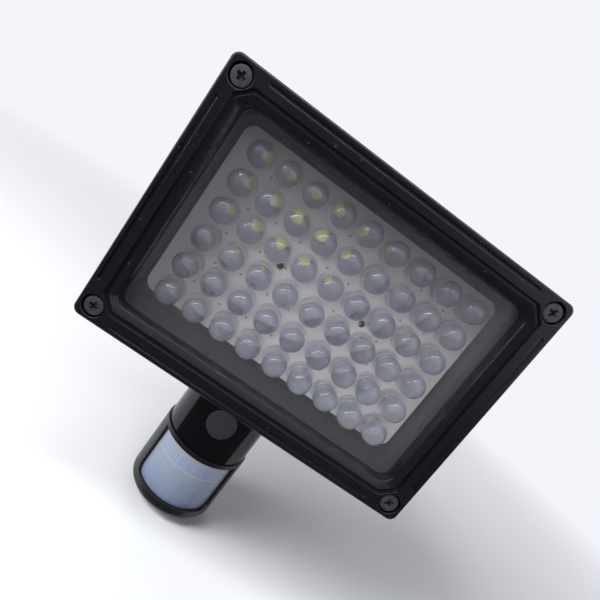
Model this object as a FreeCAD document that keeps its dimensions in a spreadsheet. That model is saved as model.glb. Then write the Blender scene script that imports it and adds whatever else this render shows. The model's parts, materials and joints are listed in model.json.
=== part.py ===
import FreeCAD, Part
import math
import os

import Sketcher

# A security floodlight head for a wall: 54 LEDs behind a clear window, a motion sensor hanging under the
# housing on a turret, and a strap bracket with two clamp knobs. Millimetres. The origin is the middle of the
# bracket's back face on the wall, the lamp looks along -Y, +Z is up and +X is to the viewer's right.

SIZES = {
    # Bracket and clamps
    "arm_reach": 74.0,
    "strap_thick": 3.0,
    "strap_half_wide": 14.0,
    "strap_bend": 5.0,
    "stud_radius": 2.95,
    "stud_hole_radius": 3.03,
    "wall_hole_radius": 4.25,
    "slot_pitch": 70.0,
    "slot_radius": 3.25,
    "slot_length": 14.0,
    "washer_thick": 1.0,
    "washer_radius": 8.5,
    "knob_thick": 9.0,
    "knob_radius": 11.0,
    "knob_scallop": 4.0,
    "insert_radius": 4.2,
    "insert_length": 10.0,
    "running_gap": 0.1,
    # LED array
    "led_pitch": 12.0,
    "led_columns": 9,
    "led_rows": 6,
    "led_radius": 5.0,
    "led_height": 13.1,
    "led_crown": 5.0,
    "led_crown_radius": 2.4,
    "board_side_margin": 10.6,
    "board_end_margin": 6.8,
    "board_thick": 1.6,
    "board_corner": 4.5,
    "board_lift": 0.8,
    "peg_x": 19.6,
    "peg_z": 0.9,
    "peg_radius": 1.4,
    "peg_clearance": 0.1,
    # Window and bezel
    "board_side_gap": 0.9,
    "board_end_gap": 3.5,
    "window_corner": 4.0,
    "frame_wide": 10.5,
    "bezel_corner": 3.0,
    "bezel_depth": 12.0,
    "bezel_face": 3.4,
    "bezel_skirt": 2.2,
    "bezel_edge": 0.6,
    "rim_out": 4.1,
    "rim_cut": 5.2,
    "moat_wide": 1.2,
    "moat_depth": 1.3,
    "slope_start": 0.5,
    "slope_drop": 1.5,
    "lip_depth": 5.8,
    "glass_land": 2.3,
    "glass_corner": 6.0,
    "glass_thick": 2.0,
    "glass_clearance": 0.2,
    "seal_thick": 0.6,
    "locating_wall": 1.8,
    "led_gap": 0.7,
    "groove_inset": 2.1,
    "groove_radius": 0.575,
    "groove_depth": 0.6,
    "groove_end": 15.4,
    "screw_inset": 5.8,
    "screw_head_radius": 3.6,
    "screw_head": 2.3,
    "screw_sink": 0.35,
    "screw_shank_radius": 1.9,
    "screw_length": 22.0,
    "recess_radius": 4.1,
    "recess_boss": 4.7,
    "screw_clearance": 0.08,
    # Light tray
    "tray_wall": 1.2,
    "tray_floor": 2.0,
    "tray_clearance": 0.3,
    "post_height": 3.2,
    "post_radius": 2.6,
    # Rear housing
    "flange_thick": 3.0,
    "gasket_wide": 1.5,
    "gasket_thick": 1.2,
    "housing_wall": 2.5,
    "tub_inset": 5.0,
    "tub_draft": 6.0,
    "tub_corner": 10.0,
    "column_radius": 4.8,
    "column_length": 29.0,
    "parts_space": 12.6,
    "control_post": 5.0,
    "control_width": 90.0,
    "control_height": 60.0,
    "capacitor_radius": 4.0,
    "capacitor_height": 9.0,
    "chip_size": 8.0,
    "chip_height": 2.5,
    "part_pitch": 20.0,
    "pivot_depth": 44.0,
    "pivot_boss_radius": 11.0,
    "pivot_boss_out": 2.0,
    "rib_thick": 1.6,
    "rib_rise": 2.4,
    "rib_pitch": 12.0,
    "rib_steps": 4,
    "rib_skip": 2,
    # Battery
    "cell_radius": 9.2,
    "cell_length": 65.0,
    "cell_pitch": 19.0,
    "cell_gap": 0.3,
    "cradle_wall": 1.5,
    "contact_room": 3.5,
    "contact_thick": 0.6,
    "contact_half_wide": 6.0,
    "doorway_corner": 3.0,
    "door_lap": 5.0,
    "door_screw_inset": 3.2,
    "door_thick": 2.5,
    "door_corner": 6.0,
    "door_seal": 0.8,
    "door_screw_radius": 1.25,
    "door_screw_head_radius": 2.3,
    "door_screw_head": 1.5,
    # Socket and switch
    "fitting_x": 49.3,
    "fitting_z": 22.0,
    "socket_radius": 4.0,
    "socket_flange_radius": 6.6,
    "socket_flange": 1.6,
    "socket_tail": 9.0,
    "socket_gap": 0.4,
    "cap_radius": 5.6,
    "cap_height": 7.0,
    "cap_bevel": 1.2,
    "button_radius": 4.0,
    "button_rise": 3.0,
    "button_travel": 1.5,
    "button_clearance": 0.08,
    "button_bevel": 0.6,
    "switch_depth": 8.0,
    "switch_well": 3.6,
    # Sensor
    "sensor_depth": 50.0,
    "turret_boss_inset": 3.8,
    "turret_boss_radius": 15.0,
    "bearing_height": 12.5,
    "turret_gap": 0.3,
    "turret_flange": 2.4,
    "turret_radius": 13.0,
    "spigot_radius": 6.95,
    "spigot_clearance": 0.07,
    "wire_bore": 2.6,
    "clip_thick": 1.0,
    "clip_groove": 1.5,
    "clip_out": 2.0,
    "lug_radius": 5.2,
    "lug_wide": 8.0,
    "ear_wide": 4.0,
    "ear_gap": 0.15,
    "pin_radius": 1.5,
    "pin_clearance": 0.05,
    "lug_neck": 1.6,
    "cap_shell_radius": 20.8,
    "cap_shell_height": 27.0,
    "cap_shell_bevel": 2.0,
    "shell_wall": 2.2,
    "pod_radius": 21.6,
    "pod_wall": 1.6,
    "brow": 2.3,
    "lens_window": 26.2,
    "lens_window_angle": 60.0,
    "lens_window_corner": 4.0,
    "pod_rim": 6.4,
    "pod_floor": 2.2,
    "pod_bevel": 2.4,
    "lens_thick": 0.9,
    "lens_lap": 1.3,
    "lens_lap_angle": 6.0,
    "lens_gap": 0.1,
    "eye_radius": 6.9,
    "eye_drop": 9.5,
    "eye_gap": 0.1,
    "sensor_board_thick": 1.6,
    "sensor_board_back": 1.0,
    "detector_radius": 4.6,
    "detector_height": 4.2,
    "detector_rise": 18.5,
    "photocell_radius": 2.5,
    "photocell_height": 2.0,
    "trimmer_pitch": 10.0,
    "trimmer_size": 7.0,
    "set_knob_radius": 4.0,
    "set_knob_height": 2.4,
    "set_shaft_radius": 1.9,
    "set_shaft_clearance": 0.08,
    "pod_screw_x": 11.5,
    "pod_screw_back": 11.5,
    "pod_screw_radius": 1.2,
    "pod_screw_head_radius": 2.2,
    "pod_column_radius": 3.4,
    "pod_column_step": 0.6,
    "pod_screw_seat": 7.5,
    "pod_screw_grip": 9.0,
    "set_kerf": 0.8,
    "pin_head": 2.0,
    "pin_nut": 2.4,
}

doc = FreeCAD.newDocument("floodlight")
sheet = doc.addObject("Spreadsheet::Sheet", "dims")
for row, (alias, number) in enumerate(SIZES.items(), 1):
    sheet.set(f"A{row}", alias)
    sheet.set(f"B{row}", str(number))
    sheet.setAlias(f"B{row}", alias)
doc.recompute()


class Size:
    """A length with the sheet expression that it comes from, so that a drawing keeps both."""

    def __init__(self, text, number):
        self.text = text
        self.number = float(number)

    def __add__(self, other):
        other = size(other)
        return Size(f"({self.text} + {other.text})", self.number + other.number)

    def __sub__(self, other):
        other = size(other)
        return Size(f"({self.text} - {other.text})", self.number - other.number)

    def __mul__(self, other):
        other = size(other)
        return Size(f"({self.text} * {other.text})", self.number * other.number)

    def __truediv__(self, other):
        other = size(other)
        return Size(f"({self.text} / {other.text})", self.number / other.number)

    def __neg__(self):
        return Size(f"(0 - {self.text})", -self.number)

    def __radd__(self, other):
        return size(other) + self

    def __rsub__(self, other):
        return size(other) - self

    def __rmul__(self, other):
        return size(other) * self


def size(value):
    return value if isinstance(value, Size) else Size(repr(float(value)), value)


def cotangent(angle):
    return Size(f"(1 / tan({angle.text}))", 1 / math.tan(math.radians(angle.number)))


def root(value):
    return Size(f"sqrt({value.text})", math.sqrt(value.number))


class Sheet:
    """Reads a size by its alias."""

    def __getattr__(self, alias):
        return Size(f"dims.{alias}", sheet.get(alias))


d = Sheet()


def bind(thing, prop, value):
    value = size(value)
    thing.setExpression(prop, value.text)


# Sketch outlines. Each is closed, and each of its numbers is a constraint bound to the sheet.

def fix(sketch, kind, *where, value):
    """Adds a dimension and binds it."""
    value = size(value)
    index = sketch.addConstraint(Sketcher.Constraint(kind, *where, value.number))
    sketch.setExpression(f"Constraints[{index}]", value.text)


def at(x, y):
    return FreeCAD.Vector(x, y, 0)


def polygon(sketch, points):
    points = [(size(x), size(y)) for x, y in points]
    first = sketch.GeometryCount
    count = len(points)
    for i, (x, y) in enumerate(points):
        x2, y2 = points[(i + 1) % count]
        sketch.addGeometry(Part.LineSegment(at(x.number, y.number), at(x2.number, y2.number)))
    for i, (x, y) in enumerate(points):
        sketch.addConstraint(Sketcher.Constraint("Coincident", first + i, 2, first + (i + 1) % count, 1))
        fix(sketch, "DistanceX", -1, 1, first + i, 1, value=x)
        fix(sketch, "DistanceY", -1, 1, first + i, 1, value=y)


def disc(sketch, radius, x=0, y=0):
    radius, x, y = size(radius), size(x), size(y)
    index = sketch.addGeometry(Part.Circle(at(x.number, y.number), FreeCAD.Vector(0, 0, 1), radius.number))
    fix(sketch, "Radius", index, value=radius)
    fix(sketch, "DistanceX", -1, 1, index, 3, value=x)
    fix(sketch, "DistanceY", -1, 1, index, 3, value=y)


def arc(x, y, radius, start):
    """A quarter turn that starts at the given quarter."""
    circle = Part.Circle(at(x, y), FreeCAD.Vector(0, 0, 1), radius)
    return Part.ArcOfCircle(circle, start * math.pi / 2, (start + 1) * math.pi / 2)


def plate(sketch, wide, high, corner):
    """A rectangle with round corners, centred on the sketch's origin."""
    wide, high, corner = size(wide), size(high), size(corner)
    w, h, r = wide.number / 2, high.number / 2, corner.number
    first = sketch.GeometryCount
    rounds = [arc(w - r, h - r, r, 0), arc(r - w, h - r, r, 1),
              arc(r - w, r - h, r, 2), arc(w - r, r - h, r, 3)]
    straights = [(w - r, h, r - w, h), (-w, h - r, -w, r - h), (r - w, -h, w - r, -h), (w, r - h, w, h - r)]
    for quarter, line in zip(rounds, straights):
        sketch.addGeometry(quarter)
        sketch.addGeometry(Part.LineSegment(at(*line[:2]), at(*line[2:])))
    for i in range(4):
        bow, line, following = first + 2 * i, first + 2 * i + 1, first + (2 * i + 2) % 8
        sketch.addConstraint(Sketcher.Constraint("Tangent", bow, 2, line, 1))
        sketch.addConstraint(Sketcher.Constraint("Tangent", line, 2, following, 1))
        sketch.addConstraint(Sketcher.Constraint("Vertical" if i % 2 else "Horizontal", line))
        if i:
            sketch.addConstraint(Sketcher.Constraint("Equal", first, bow))
    sketch.addConstraint(Sketcher.Constraint("Symmetric", first, 3, first + 4, 3, -1, 1))
    fix(sketch, "Radius", first, value=corner)
    fix(sketch, "DistanceX", first + 2, 3, first, 3, value=wide - 2 * corner)
    fix(sketch, "DistanceY", first + 6, 3, first, 3, value=high - 2 * corner)


def cut_plate(sketch, wide, high, cut):
    """A rectangle with its corners cut off at 45 degrees, centred on the sketch's origin."""
    w, h = wide / 2, high / 2
    polygon(sketch, [(w, h - cut), (w - cut, h), (cut - w, h), (-w, h - cut),
                     (-w, cut - h), (cut - w, -h), (w - cut, -h), (w, cut - h)])


def slot(sketch, x, y, run, radius, upright=False):
    """A round-ended slot about (x, y); run is the distance between its two end centres."""
    x, y, run, radius = size(x), size(y), size(run), size(radius)
    dx, dy = (0, run / 2) if upright else (run / 2, 0)
    dx, dy = size(dx), size(dy)
    first = sketch.GeometryCount
    turn = math.pi / 2 if upright else 0
    for sign, start in ((1, -math.pi / 2), (-1, math.pi / 2)):
        centre = at(x.number + sign * dx.number, y.number + sign * dy.number)
        circle = Part.Circle(centre, FreeCAD.Vector(0, 0, 1), radius.number)
        sketch.addGeometry(Part.ArcOfCircle(circle, start + turn, start + turn + math.pi))
    ends = [sketch.Geometry[first].EndPoint, sketch.Geometry[first + 1].StartPoint,
            sketch.Geometry[first + 1].EndPoint, sketch.Geometry[first].StartPoint]
    sketch.addGeometry(Part.LineSegment(ends[0], ends[1]))
    sketch.addGeometry(Part.LineSegment(ends[2], ends[3]))
    sketch.addConstraint(Sketcher.Constraint("Tangent", first, 2, first + 2, 1))
    sketch.addConstraint(Sketcher.Constraint("Tangent", first + 2, 2, first + 1, 1))
    sketch.addConstraint(Sketcher.Constraint("Tangent", first + 1, 2, first + 3, 1))
    sketch.addConstraint(Sketcher.Constraint("Tangent", first + 3, 2, first, 1))
    fix(sketch, "Radius", first, value=radius)
    for i, sign in ((0, 1), (1, -1)):
        fix(sketch, "DistanceX", -1, 1, first + i, 3, value=x + sign * dx)
        fix(sketch, "DistanceY", -1, 1, first + i, 3, value=y + sign * dy)


class Moulding:
    """One piece, with the features that shape it. Its frame may stand at a point of the lamp's own."""

    def __init__(self, node, x=0, y=0, z=0):
        self.body = doc.addObject("PartDesign::Body", node)
        self.body.Label = node
        for axis, value in zip("xyz", (x, y, z)):
            bind(self.body, f"Placement.Base.{axis}", value)

    def sketch(self, role, offset=0, across=0, up=0):
        """An empty sketch on one of the body's own planes, moved off it by offset along the normal."""
        sketch = self.body.newObject("Sketcher::SketchObject", f"{self.body.Name}_sketch")
        support = [f for f in self.body.Origin.OriginFeatures if f.Role == role][0]
        sketch.AttachmentSupport = [(support, "")]
        sketch.MapMode = "FlatFace"
        for axis, value in zip("xyz", (across, up, offset)):
            bind(sketch, f"AttachmentOffset.Base.{axis}", value)
        return sketch

    def front(self, depth, across=0, up=0):
        """A sketch that faces the viewer, at a depth behind the bezel's face."""
        return self.sketch("XZ_Plane", reach - depth, across, up)

    def feature(self, kind, sketch, length, back=False, both=False):
        """A pad or a pocket. A pad runs along the sketch's normal and a pocket against it, unless back."""
        feature = self.body.newObject(f"PartDesign::{kind}", f"{self.body.Name}_{kind.lower()}")
        feature.Profile = sketch
        bind(feature, "Length", length)
        feature.Reversed = back
        if both:
            feature.SideType = "Symmetric"
        feature.Refine = True
        return feature

    def pad(self, sketch, length, back=False, both=False):
        return self.feature("Pad", sketch, length, back, both)

    def pocket(self, sketch, length, back=False, both=False):
        return self.feature("Pocket", sketch, length, back, both)

    def loft(self, kind, first, second):
        loft = self.body.newObject(f"PartDesign::{kind}Loft", f"{self.body.Name}_loft")
        loft.Profile = first
        loft.Sections = [second]
        loft.Ruled = True
        return loft

    def turn(self, kind, sketch):
        """A revolution or a groove about the sketch's upright axis."""
        turned = self.body.newObject(f"PartDesign::{kind}", f"{self.body.Name}_turn")
        turned.Profile = sketch
        turned.ReferenceAxis = (sketch, ["V_Axis"])
        turned.Angle = 360
        return turned

    def repeat(self, feature, role, length, copies):
        pattern = self.body.newObject("PartDesign::LinearPattern", f"{self.body.Name}_row")
        pattern.Originals = [feature]
        axis = [f for f in self.body.Origin.OriginFeatures if f.Role == role][0]
        pattern.Direction = (axis, [""])
        bind(pattern, "Length", length)
        pattern.Occurrences = copies
        self.body.Tip = pattern
        return pattern

    def dress(self, kind, prop, value, wanted):
        """Rounds or chamfers the edges that wanted picks out, as seen in the body's own frame."""
        doc.recompute()
        base = self.body.Tip
        names = [f"Edge{i}" for i, edge in enumerate(base.Shape.Edges, 1) if wanted(edge)]
        if not names:
            raise RuntimeError(f"{self.body.Label}: no edge to dress")
        dressed = self.body.newObject(f"PartDesign::{kind}", f"{self.body.Name}_{kind.lower()}")
        dressed.Base = (base, names)
        bind(dressed, prop, value)
        return dressed


# Primitives placed by expressions. The turn brings a cylinder's own Z axis to the named one.

TURNS = {
    "x": FreeCAD.Rotation(FreeCAD.Vector(0, 1, 0), 90),
    "y": FreeCAD.Rotation(FreeCAD.Vector(1, 0, 0), -90),
    "z": FreeCAD.Rotation(),
}


def place(thing, x, y, z):
    for axis, value in zip("xyz", (x, y, z)):
        bind(thing, f"Placement.Base.{axis}", value)
    return thing


def rod(radius, length, x, y, z, along):
    """A cylinder that starts at (x, y, z) and runs along +X, +Y or +Z."""
    thing = doc.addObject("Part::Cylinder", "rod")
    thing.Placement = FreeCAD.Placement(FreeCAD.Vector(), TURNS[along])
    bind(thing, "Radius", radius)
    bind(thing, "Height", length)
    return place(thing, x, y, z)


def block(x, y, z):
    """A box from three (low, high) pairs."""
    thing = doc.addObject("Part::Box", "block")
    for prop, (low, high) in zip(("Length", "Width", "Height"), (x, y, z)):
        bind(thing, prop, size(high) - low)
    return place(thing, x[0], y[0], z[0])


def hexagon(flats, length, x, y, z, along):
    thing = doc.addObject("Part::Prism", "hexagon")
    thing.Placement = FreeCAD.Placement(FreeCAD.Vector(), TURNS[along])
    thing.Polygon = 6
    bind(thing, "Circumradius", size(flats) / math.sqrt(3))
    bind(thing, "Height", length)
    return place(thing, x, y, z)


def fuse(node, *things):
    thing = doc.addObject("Part::MultiFuse", node)
    thing.Shapes = list(things)
    thing.Refine = True
    thing.Label = node
    return thing


def cut(node, base, *tools):
    for tool in tools:
        thing = doc.addObject("Part::Cut", node)
        thing.Base = base
        thing.Tool = tool
        base = thing
    base.Label = node
    return base


def group(node, *things):
    thing = doc.addObject("Part::Compound", node)
    thing.Links = list(things)
    thing.Label = node
    return thing


def corners(x, z):
    return [(sx * x, sz * z) for sx in (1, -1) for sz in (1, -1)]


nodes = []


def keep(node):
    """Names a finished piece, to be written out at the end."""
    nodes.append(node)


# Places that several pieces share. A depth is counted back from the bezel's face.

reach = d.pivot_depth + d.arm_reach
board_width = d.led_pitch * (d.led_columns - 1) + 2 * d.board_side_margin
board_height = d.led_pitch * (d.led_rows - 1) + 2 * d.board_end_margin
window_width = board_width + 2 * d.board_side_gap
window_height = board_height + 2 * d.board_end_gap
bezel_width = window_width + 2 * d.frame_wide
bezel_height = window_height + 2 * d.frame_wide
screw_x = bezel_width / 2 - d.screw_inset
screw_z = bezel_height / 2 - d.screw_inset
glass_width = window_width + 2 * d.glass_land
glass_height = window_height + 2 * d.glass_land
pocket_width = glass_width + 2 * d.glass_clearance
pocket_height = glass_height + 2 * d.glass_clearance
pocket_corner = d.glass_corner + d.glass_clearance
glass_front = d.lip_depth + d.seal_thick
glass_back = glass_front + d.glass_thick
board_front = glass_back + d.led_gap + d.led_height
board_back = board_front + d.board_thick
floor_front = board_back + d.post_height
floor_back = floor_front + d.tray_floor
tray_width = window_width + 2 * d.tray_wall
tray_height = window_height + 2 * d.tray_wall
tray_corner = d.window_corner + d.tray_wall
flange_back = d.bezel_depth + d.flange_thick
control_front = floor_back + d.control_post
control_back = control_front + d.board_thick
cradle_front = control_back + d.parts_space
cradle_inside = cradle_front + d.cradle_wall
housing_inside = cradle_inside + 2 * (d.cell_radius + d.cell_gap) + 2 * d.cell_gap + d.cradle_wall
housing_back = housing_inside + d.housing_wall
pivot_y = -d.arm_reach


def deep(depth):
    """The Y of a depth behind the bezel's face."""
    return depth - reach


# Front bezel: a hollow moulded frame. Its flat rim has a hairline groove along each side and ends at a narrow
# moat, cut across the corners to clear the screw recesses. Inside the moat the face slopes down to the
# window's lip, with a facet at each corner, and behind it is a rebate for the pane.

bezel = Moulding("front_bezel")
outline = bezel.front(0)
plate(outline, bezel_width, bezel_height, d.bezel_corner)
bezel.pad(outline, d.bezel_depth, back=True)


def on_front_edge(edge):
    box = edge.BoundBox
    return box.YMax < -reach.number + 0.01


bezel.dress("Chamfer", "Size", d.bezel_edge, on_front_edge)
hollow = bezel.front(d.bezel_face)
plate(hollow, bezel_width - 2 * d.bezel_skirt, bezel_height - 2 * d.bezel_skirt, d.bezel_corner / 2)
plate(hollow, pocket_width + 2 * d.locating_wall, pocket_height + 2 * d.locating_wall,
      pocket_corner + d.locating_wall)
bezel.pocket(hollow, d.bezel_depth - d.bezel_face)
bosses = bezel.front(d.bezel_face)
for x, z in corners(screw_x, screw_z):
    disc(bosses, d.recess_boss, x, z)
bezel.pad(bosses, d.bezel_depth - d.bezel_face, back=True)
rebate = bezel.front(d.lip_depth)
plate(rebate, pocket_width, pocket_height, pocket_corner)
bezel.pocket(rebate, d.bezel_depth - d.lip_depth)
rim_width = window_width + 2 * d.rim_out
rim_height = window_height + 2 * d.rim_out
slope_width = rim_width - 2 * d.moat_wide
slope_height = rim_height - 2 * d.moat_wide
slope_cut = d.rim_cut - (2 - math.sqrt(2)) * d.moat_wide
moat = bezel.front(0)
cut_plate(moat, rim_width, rim_height, d.rim_cut)
cut_plate(moat, slope_width, slope_height, slope_cut)
bezel.pocket(moat, d.moat_depth)
ledge = bezel.front(0)
cut_plate(ledge, slope_width, slope_height, slope_cut)
bezel.pocket(ledge, d.slope_start)
slope_outer = bezel.front(d.slope_start)
cut_plate(slope_outer, slope_width, slope_height, slope_cut)
slope_inner = bezel.front(d.slope_start + d.slope_drop)
plate(slope_inner, window_width, window_height, d.window_corner)
bezel.loft("Subtractive", slope_outer, slope_inner)
opening = bezel.front(0)
plate(opening, window_width, window_height, d.window_corner)
bezel.pocket(opening, d.bezel_depth)
recesses = bezel.front(0)
holes = bezel.front(0)
for x, z in corners(screw_x, screw_z):
    disc(recesses, d.recess_radius, x, z)
    disc(holes, d.screw_shank_radius + d.screw_clearance, x, z)
bezel.pocket(recesses, d.screw_sink + d.screw_head)
bezel.pocket(holes, d.bezel_depth)
grooves = bezel.front(0)
groove_x = bezel_width / 2 - d.groove_inset - d.groove_radius
groove_z = bezel_height / 2 - d.groove_inset - d.groove_radius
for sign in (1, -1):
    slot(grooves, 0, sign * groove_z, bezel_width - 2 * d.groove_end, d.groove_radius)
    slot(grooves, sign * groove_x, 0, bezel_height - 2 * d.groove_end, d.groove_radius, upright=True)
bezel.pocket(grooves, d.groove_depth)
keep("front_bezel")

# Bezel screws: flat pan heads sunk in the recesses, shanks down into the housing's columns.

screws = []
for x, z in corners(screw_x, screw_z):
    head = rod(d.screw_head_radius, d.screw_head, x, deep(d.screw_sink), z, "y")
    shank = rod(d.screw_shank_radius, d.screw_length, x, deep(d.screw_sink + d.screw_head), z, "y")
    screws.append(fuse("bezel_screw", head, shank))
group("bezel_screws", *screws)
keep("bezel_screws")

# Window pane and its seal under the bezel's lip.

seal = Moulding("window_seal")
ring = seal.front(d.lip_depth)
plate(ring, glass_width, glass_height, d.glass_corner)
plate(ring, window_width + d.board_side_gap, window_height + d.board_side_gap, d.window_corner)
seal.pad(ring, d.seal_thick, back=True)
keep("window_seal")

pane = Moulding("window_pane")
sheet_outline = pane.front(glass_front)
plate(sheet_outline, glass_width, glass_height, d.glass_corner)
pane.pad(sheet_outline, d.glass_thick, back=True)
keep("window_pane")

# Light tray: the black well behind the pane. Its rim is held between the pane and the housing, its pegs
# carry the LED board clear of the floor, and its rear posts carry the control board.

tray = Moulding("light_tray")
wall = tray.front(glass_back)
plate(wall, tray_width, tray_height, tray_corner)
tray.pad(wall, floor_back - glass_back, back=True)
rim = tray.front(glass_back)
plate(rim, glass_width, glass_height, d.glass_corner)
tray.pad(rim, d.bezel_depth - glass_back, back=True)
well = tray.front(glass_back)
plate(well, window_width, window_height, d.window_corner)
tray.pocket(well, floor_front - glass_back)
posts = tray.front(board_back, up=d.board_lift)
post_x = d.led_pitch * (d.led_columns - 2) / 2
post_z = d.led_pitch * (d.led_rows - 2) / 2
for x, z in corners(post_x, post_z):
    disc(posts, d.post_radius, x, z)
for sign in (1, -1):
    disc(posts, d.post_radius, sign * d.peg_x, d.peg_z - d.board_lift)
tray.pad(posts, d.post_height + d.tray_floor / 2, back=True)
pegs = tray.front(board_front + d.led_gap)
for sign in (1, -1):
    disc(pegs, d.peg_radius, sign * d.peg_x, d.peg_z)
tray.pad(pegs, d.board_thick + d.post_height, back=True)
control_x = d.control_width / 2 - d.screw_inset
control_z = d.control_height / 2 - d.screw_inset
rear_posts = tray.front(floor_back)
pilots = tray.front(floor_back)
for x, z in corners(control_x, control_z):
    disc(rear_posts, d.post_radius, x, z)
    disc(pilots, d.door_screw_radius + d.screw_clearance, x, z)
tray.pad(rear_posts, d.control_post, back=True)
tray.pocket(pilots, d.control_post)
keep("light_tray")

# LED board: a thin pale plate with rounded corners and two locating holes.

board = Moulding("led_board")
board_outline = board.front(board_front, up=d.board_lift)
plate(board_outline, board_width, board_height, d.board_corner)
for sign in (1, -1):
    disc(board_outline, d.peg_radius + d.peg_clearance, sign * d.peg_x, d.peg_z - d.board_lift)
board.pad(board_outline, d.board_thick, back=True)
keep("led_board")


# LEDs: clear round bodies with a crowned top, one node for each row across the board.

def led_row(z):
    """One row of LEDs as separate solids, looking along -Y from the board."""
    leds = []
    straight = d.led_height.number - d.led_crown.number
    for column in range(round(d.led_columns.number)):
        x = d.led_pitch.number * (column - (d.led_columns.number - 1) / 2)
        foot = FreeCAD.Vector(x, board_front.number - reach.number, z)
        forward = FreeCAD.Vector(0, -1, 0)
        stem = Part.makeCylinder(d.led_radius.number, straight, foot, forward)
        crown = Part.makeCone(d.led_radius.number, d.led_crown_radius.number, d.led_crown.number,
                              foot + forward * straight, forward)
        leds.append(stem.fuse(crown).removeSplitter())
    return Part.makeCompound(leds)


for number in range(round(d.led_rows.number)):
    row = doc.addObject("Part::Feature", f"led_row_{number + 1}")
    row.Label = f"led_row_{number + 1}"
    row.Shape = led_row(d.led_pitch.number * ((d.led_rows.number - 1) / 2 - number))
    keep(row.Label)

# Rear housing: a drafted tub behind a flange, with a screw column at each corner, ribs along its top and
# bottom, a clamp boss on each side, the sensor's boss below and a doorway for the battery at the back.

tub_width = bezel_width - 2 * d.tub_inset
tub_height = bezel_height - 2 * d.tub_inset
tray_hole_width = tray_width + 2 * d.tray_clearance
tray_hole_height = tray_height + 2 * d.tray_clearance
gasket_width = pocket_width + 2 * d.locating_wall - (d.locating_wall - d.gasket_wide)
gasket_height = pocket_height + 2 * d.locating_wall - (d.locating_wall - d.gasket_wide)
gasket_corner = pocket_corner + d.gasket_wide
cradle_width = d.cell_length + 2 * d.contact_room + 2 * d.cradle_wall
cradle_height = 2 * d.cell_pitch + 2 * (d.cell_radius + d.cell_gap) + 2 * d.cradle_wall
doorway_width = cradle_width - 2 * d.cradle_wall
doorway_height = cradle_height - 2 * d.cradle_wall
door_width = doorway_width + 2 * d.door_lap
door_height = doorway_height + 2 * d.door_lap
door_screw_x = door_width / 2 - d.door_screw_inset
door_screw_z = door_height / 2 - d.door_screw_inset
boss_face = tub_width / 2 - d.tub_draft / 2 + d.pivot_boss_out
turret_face = d.turret_boss_inset - bezel_height / 2
sensor_y = deep(d.sensor_depth)

housing = Moulding("rear_housing")
flange = housing.front(d.bezel_depth)
plate(flange, bezel_width, bezel_height, d.bezel_corner)
housing.pad(flange, d.flange_thick, back=True)
tub_front = housing.front(flange_back)
plate(tub_front, tub_width, tub_height, d.tub_corner)
tub_back = housing.front(housing_back)
plate(tub_back, tub_width - 2 * d.tub_draft, tub_height - 2 * d.tub_draft, d.tub_corner - d.tub_draft)
housing.loft("Additive", tub_front, tub_back)
columns = housing.front(flange_back)
for x, z in corners(screw_x, screw_z):
    disc(columns, d.column_radius, x, z)
housing.pad(columns, d.column_length, back=True)
cavity_width = tub_width - 2 * d.housing_wall
cavity_height = tub_height - 2 * d.housing_wall
cavity_corner = d.tub_corner - d.housing_wall
cavity_front = housing.front(flange_back)
plate(cavity_front, cavity_width, cavity_height, cavity_corner)
cavity_back = housing.front(housing_inside)
plate(cavity_back, cavity_width - 2 * d.tub_draft, cavity_height - 2 * d.tub_draft,
      cavity_corner - d.tub_draft)
housing.loft("Subtractive", cavity_front, cavity_back)
tray_hole = housing.front(d.bezel_depth)
plate(tray_hole, tray_hole_width, tray_hole_height, tray_corner + d.tray_clearance)
housing.pocket(tray_hole, d.flange_thick)
gasket_groove = housing.front(d.bezel_depth)
plate(gasket_groove, gasket_width, gasket_height, gasket_corner)
plate(gasket_groove, gasket_width - 2 * d.gasket_wide, gasket_height - 2 * d.gasket_wide,
      gasket_corner - d.gasket_wide)
housing.pocket(gasket_groove, d.gasket_thick)
screw_holes = housing.front(d.bezel_depth)
for x, z in corners(screw_x, screw_z):
    disc(screw_holes, d.screw_shank_radius + d.screw_clearance, x, z)
housing.pocket(screw_holes, d.screw_length)
for side, back in ((1, True), (-1, False)):
    outer_boss = housing.sketch("YZ_Plane", side * boss_face)
    disc(outer_boss, d.pivot_boss_radius, pivot_y, 0)
    housing.pad(outer_boss, d.pivot_boss_out + d.housing_wall / 2, back=back)
    inner_boss = housing.sketch("YZ_Plane", side * boss_face)
    disc(inner_boss, d.insert_radius + d.housing_wall, pivot_y, 0)
    housing.pad(inner_boss, d.insert_length + d.housing_wall, back=back)
    insert_hole = housing.sketch("YZ_Plane", side * boss_face)
    disc(insert_hole, d.insert_radius, pivot_y, 0)
    housing.pocket(insert_hole, d.insert_length, back=not back)
turret_boss = housing.sketch("XY_Plane", turret_face)
disc(turret_boss, d.turret_boss_radius, 0, sensor_y)
housing.pad(turret_boss, d.tub_draft + d.housing_wall / 2 - turret_face - tub_height / 2)
bearing = housing.sketch("XY_Plane", turret_face)
disc(bearing, d.spigot_radius + d.housing_wall, 0, sensor_y)
housing.pad(bearing, d.bearing_height)
bearing_bore = housing.sketch("XY_Plane", turret_face)
disc(bearing_bore, d.spigot_radius + d.spigot_clearance, 0, sensor_y)
housing.pocket(bearing_bore, d.bearing_height, back=True)
doorway = housing.front(housing_inside)
plate(doorway, doorway_width, doorway_height, d.doorway_corner)
housing.pocket(doorway, d.housing_wall)
rear_holes = housing.front(housing_inside)
disc(rear_holes, d.socket_radius, d.fitting_x, -d.fitting_z)
disc(rear_holes, d.button_radius + d.button_clearance, -d.fitting_x, -d.fitting_z)
for x, z in corners(door_screw_x, door_screw_z):
    disc(rear_holes, d.door_screw_radius + d.screw_clearance, x, z)
housing.pocket(rear_holes, d.housing_wall)
rib_front = tub_height / 2 - d.housing_wall / 2
rib_back = rib_front - d.tub_draft


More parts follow.
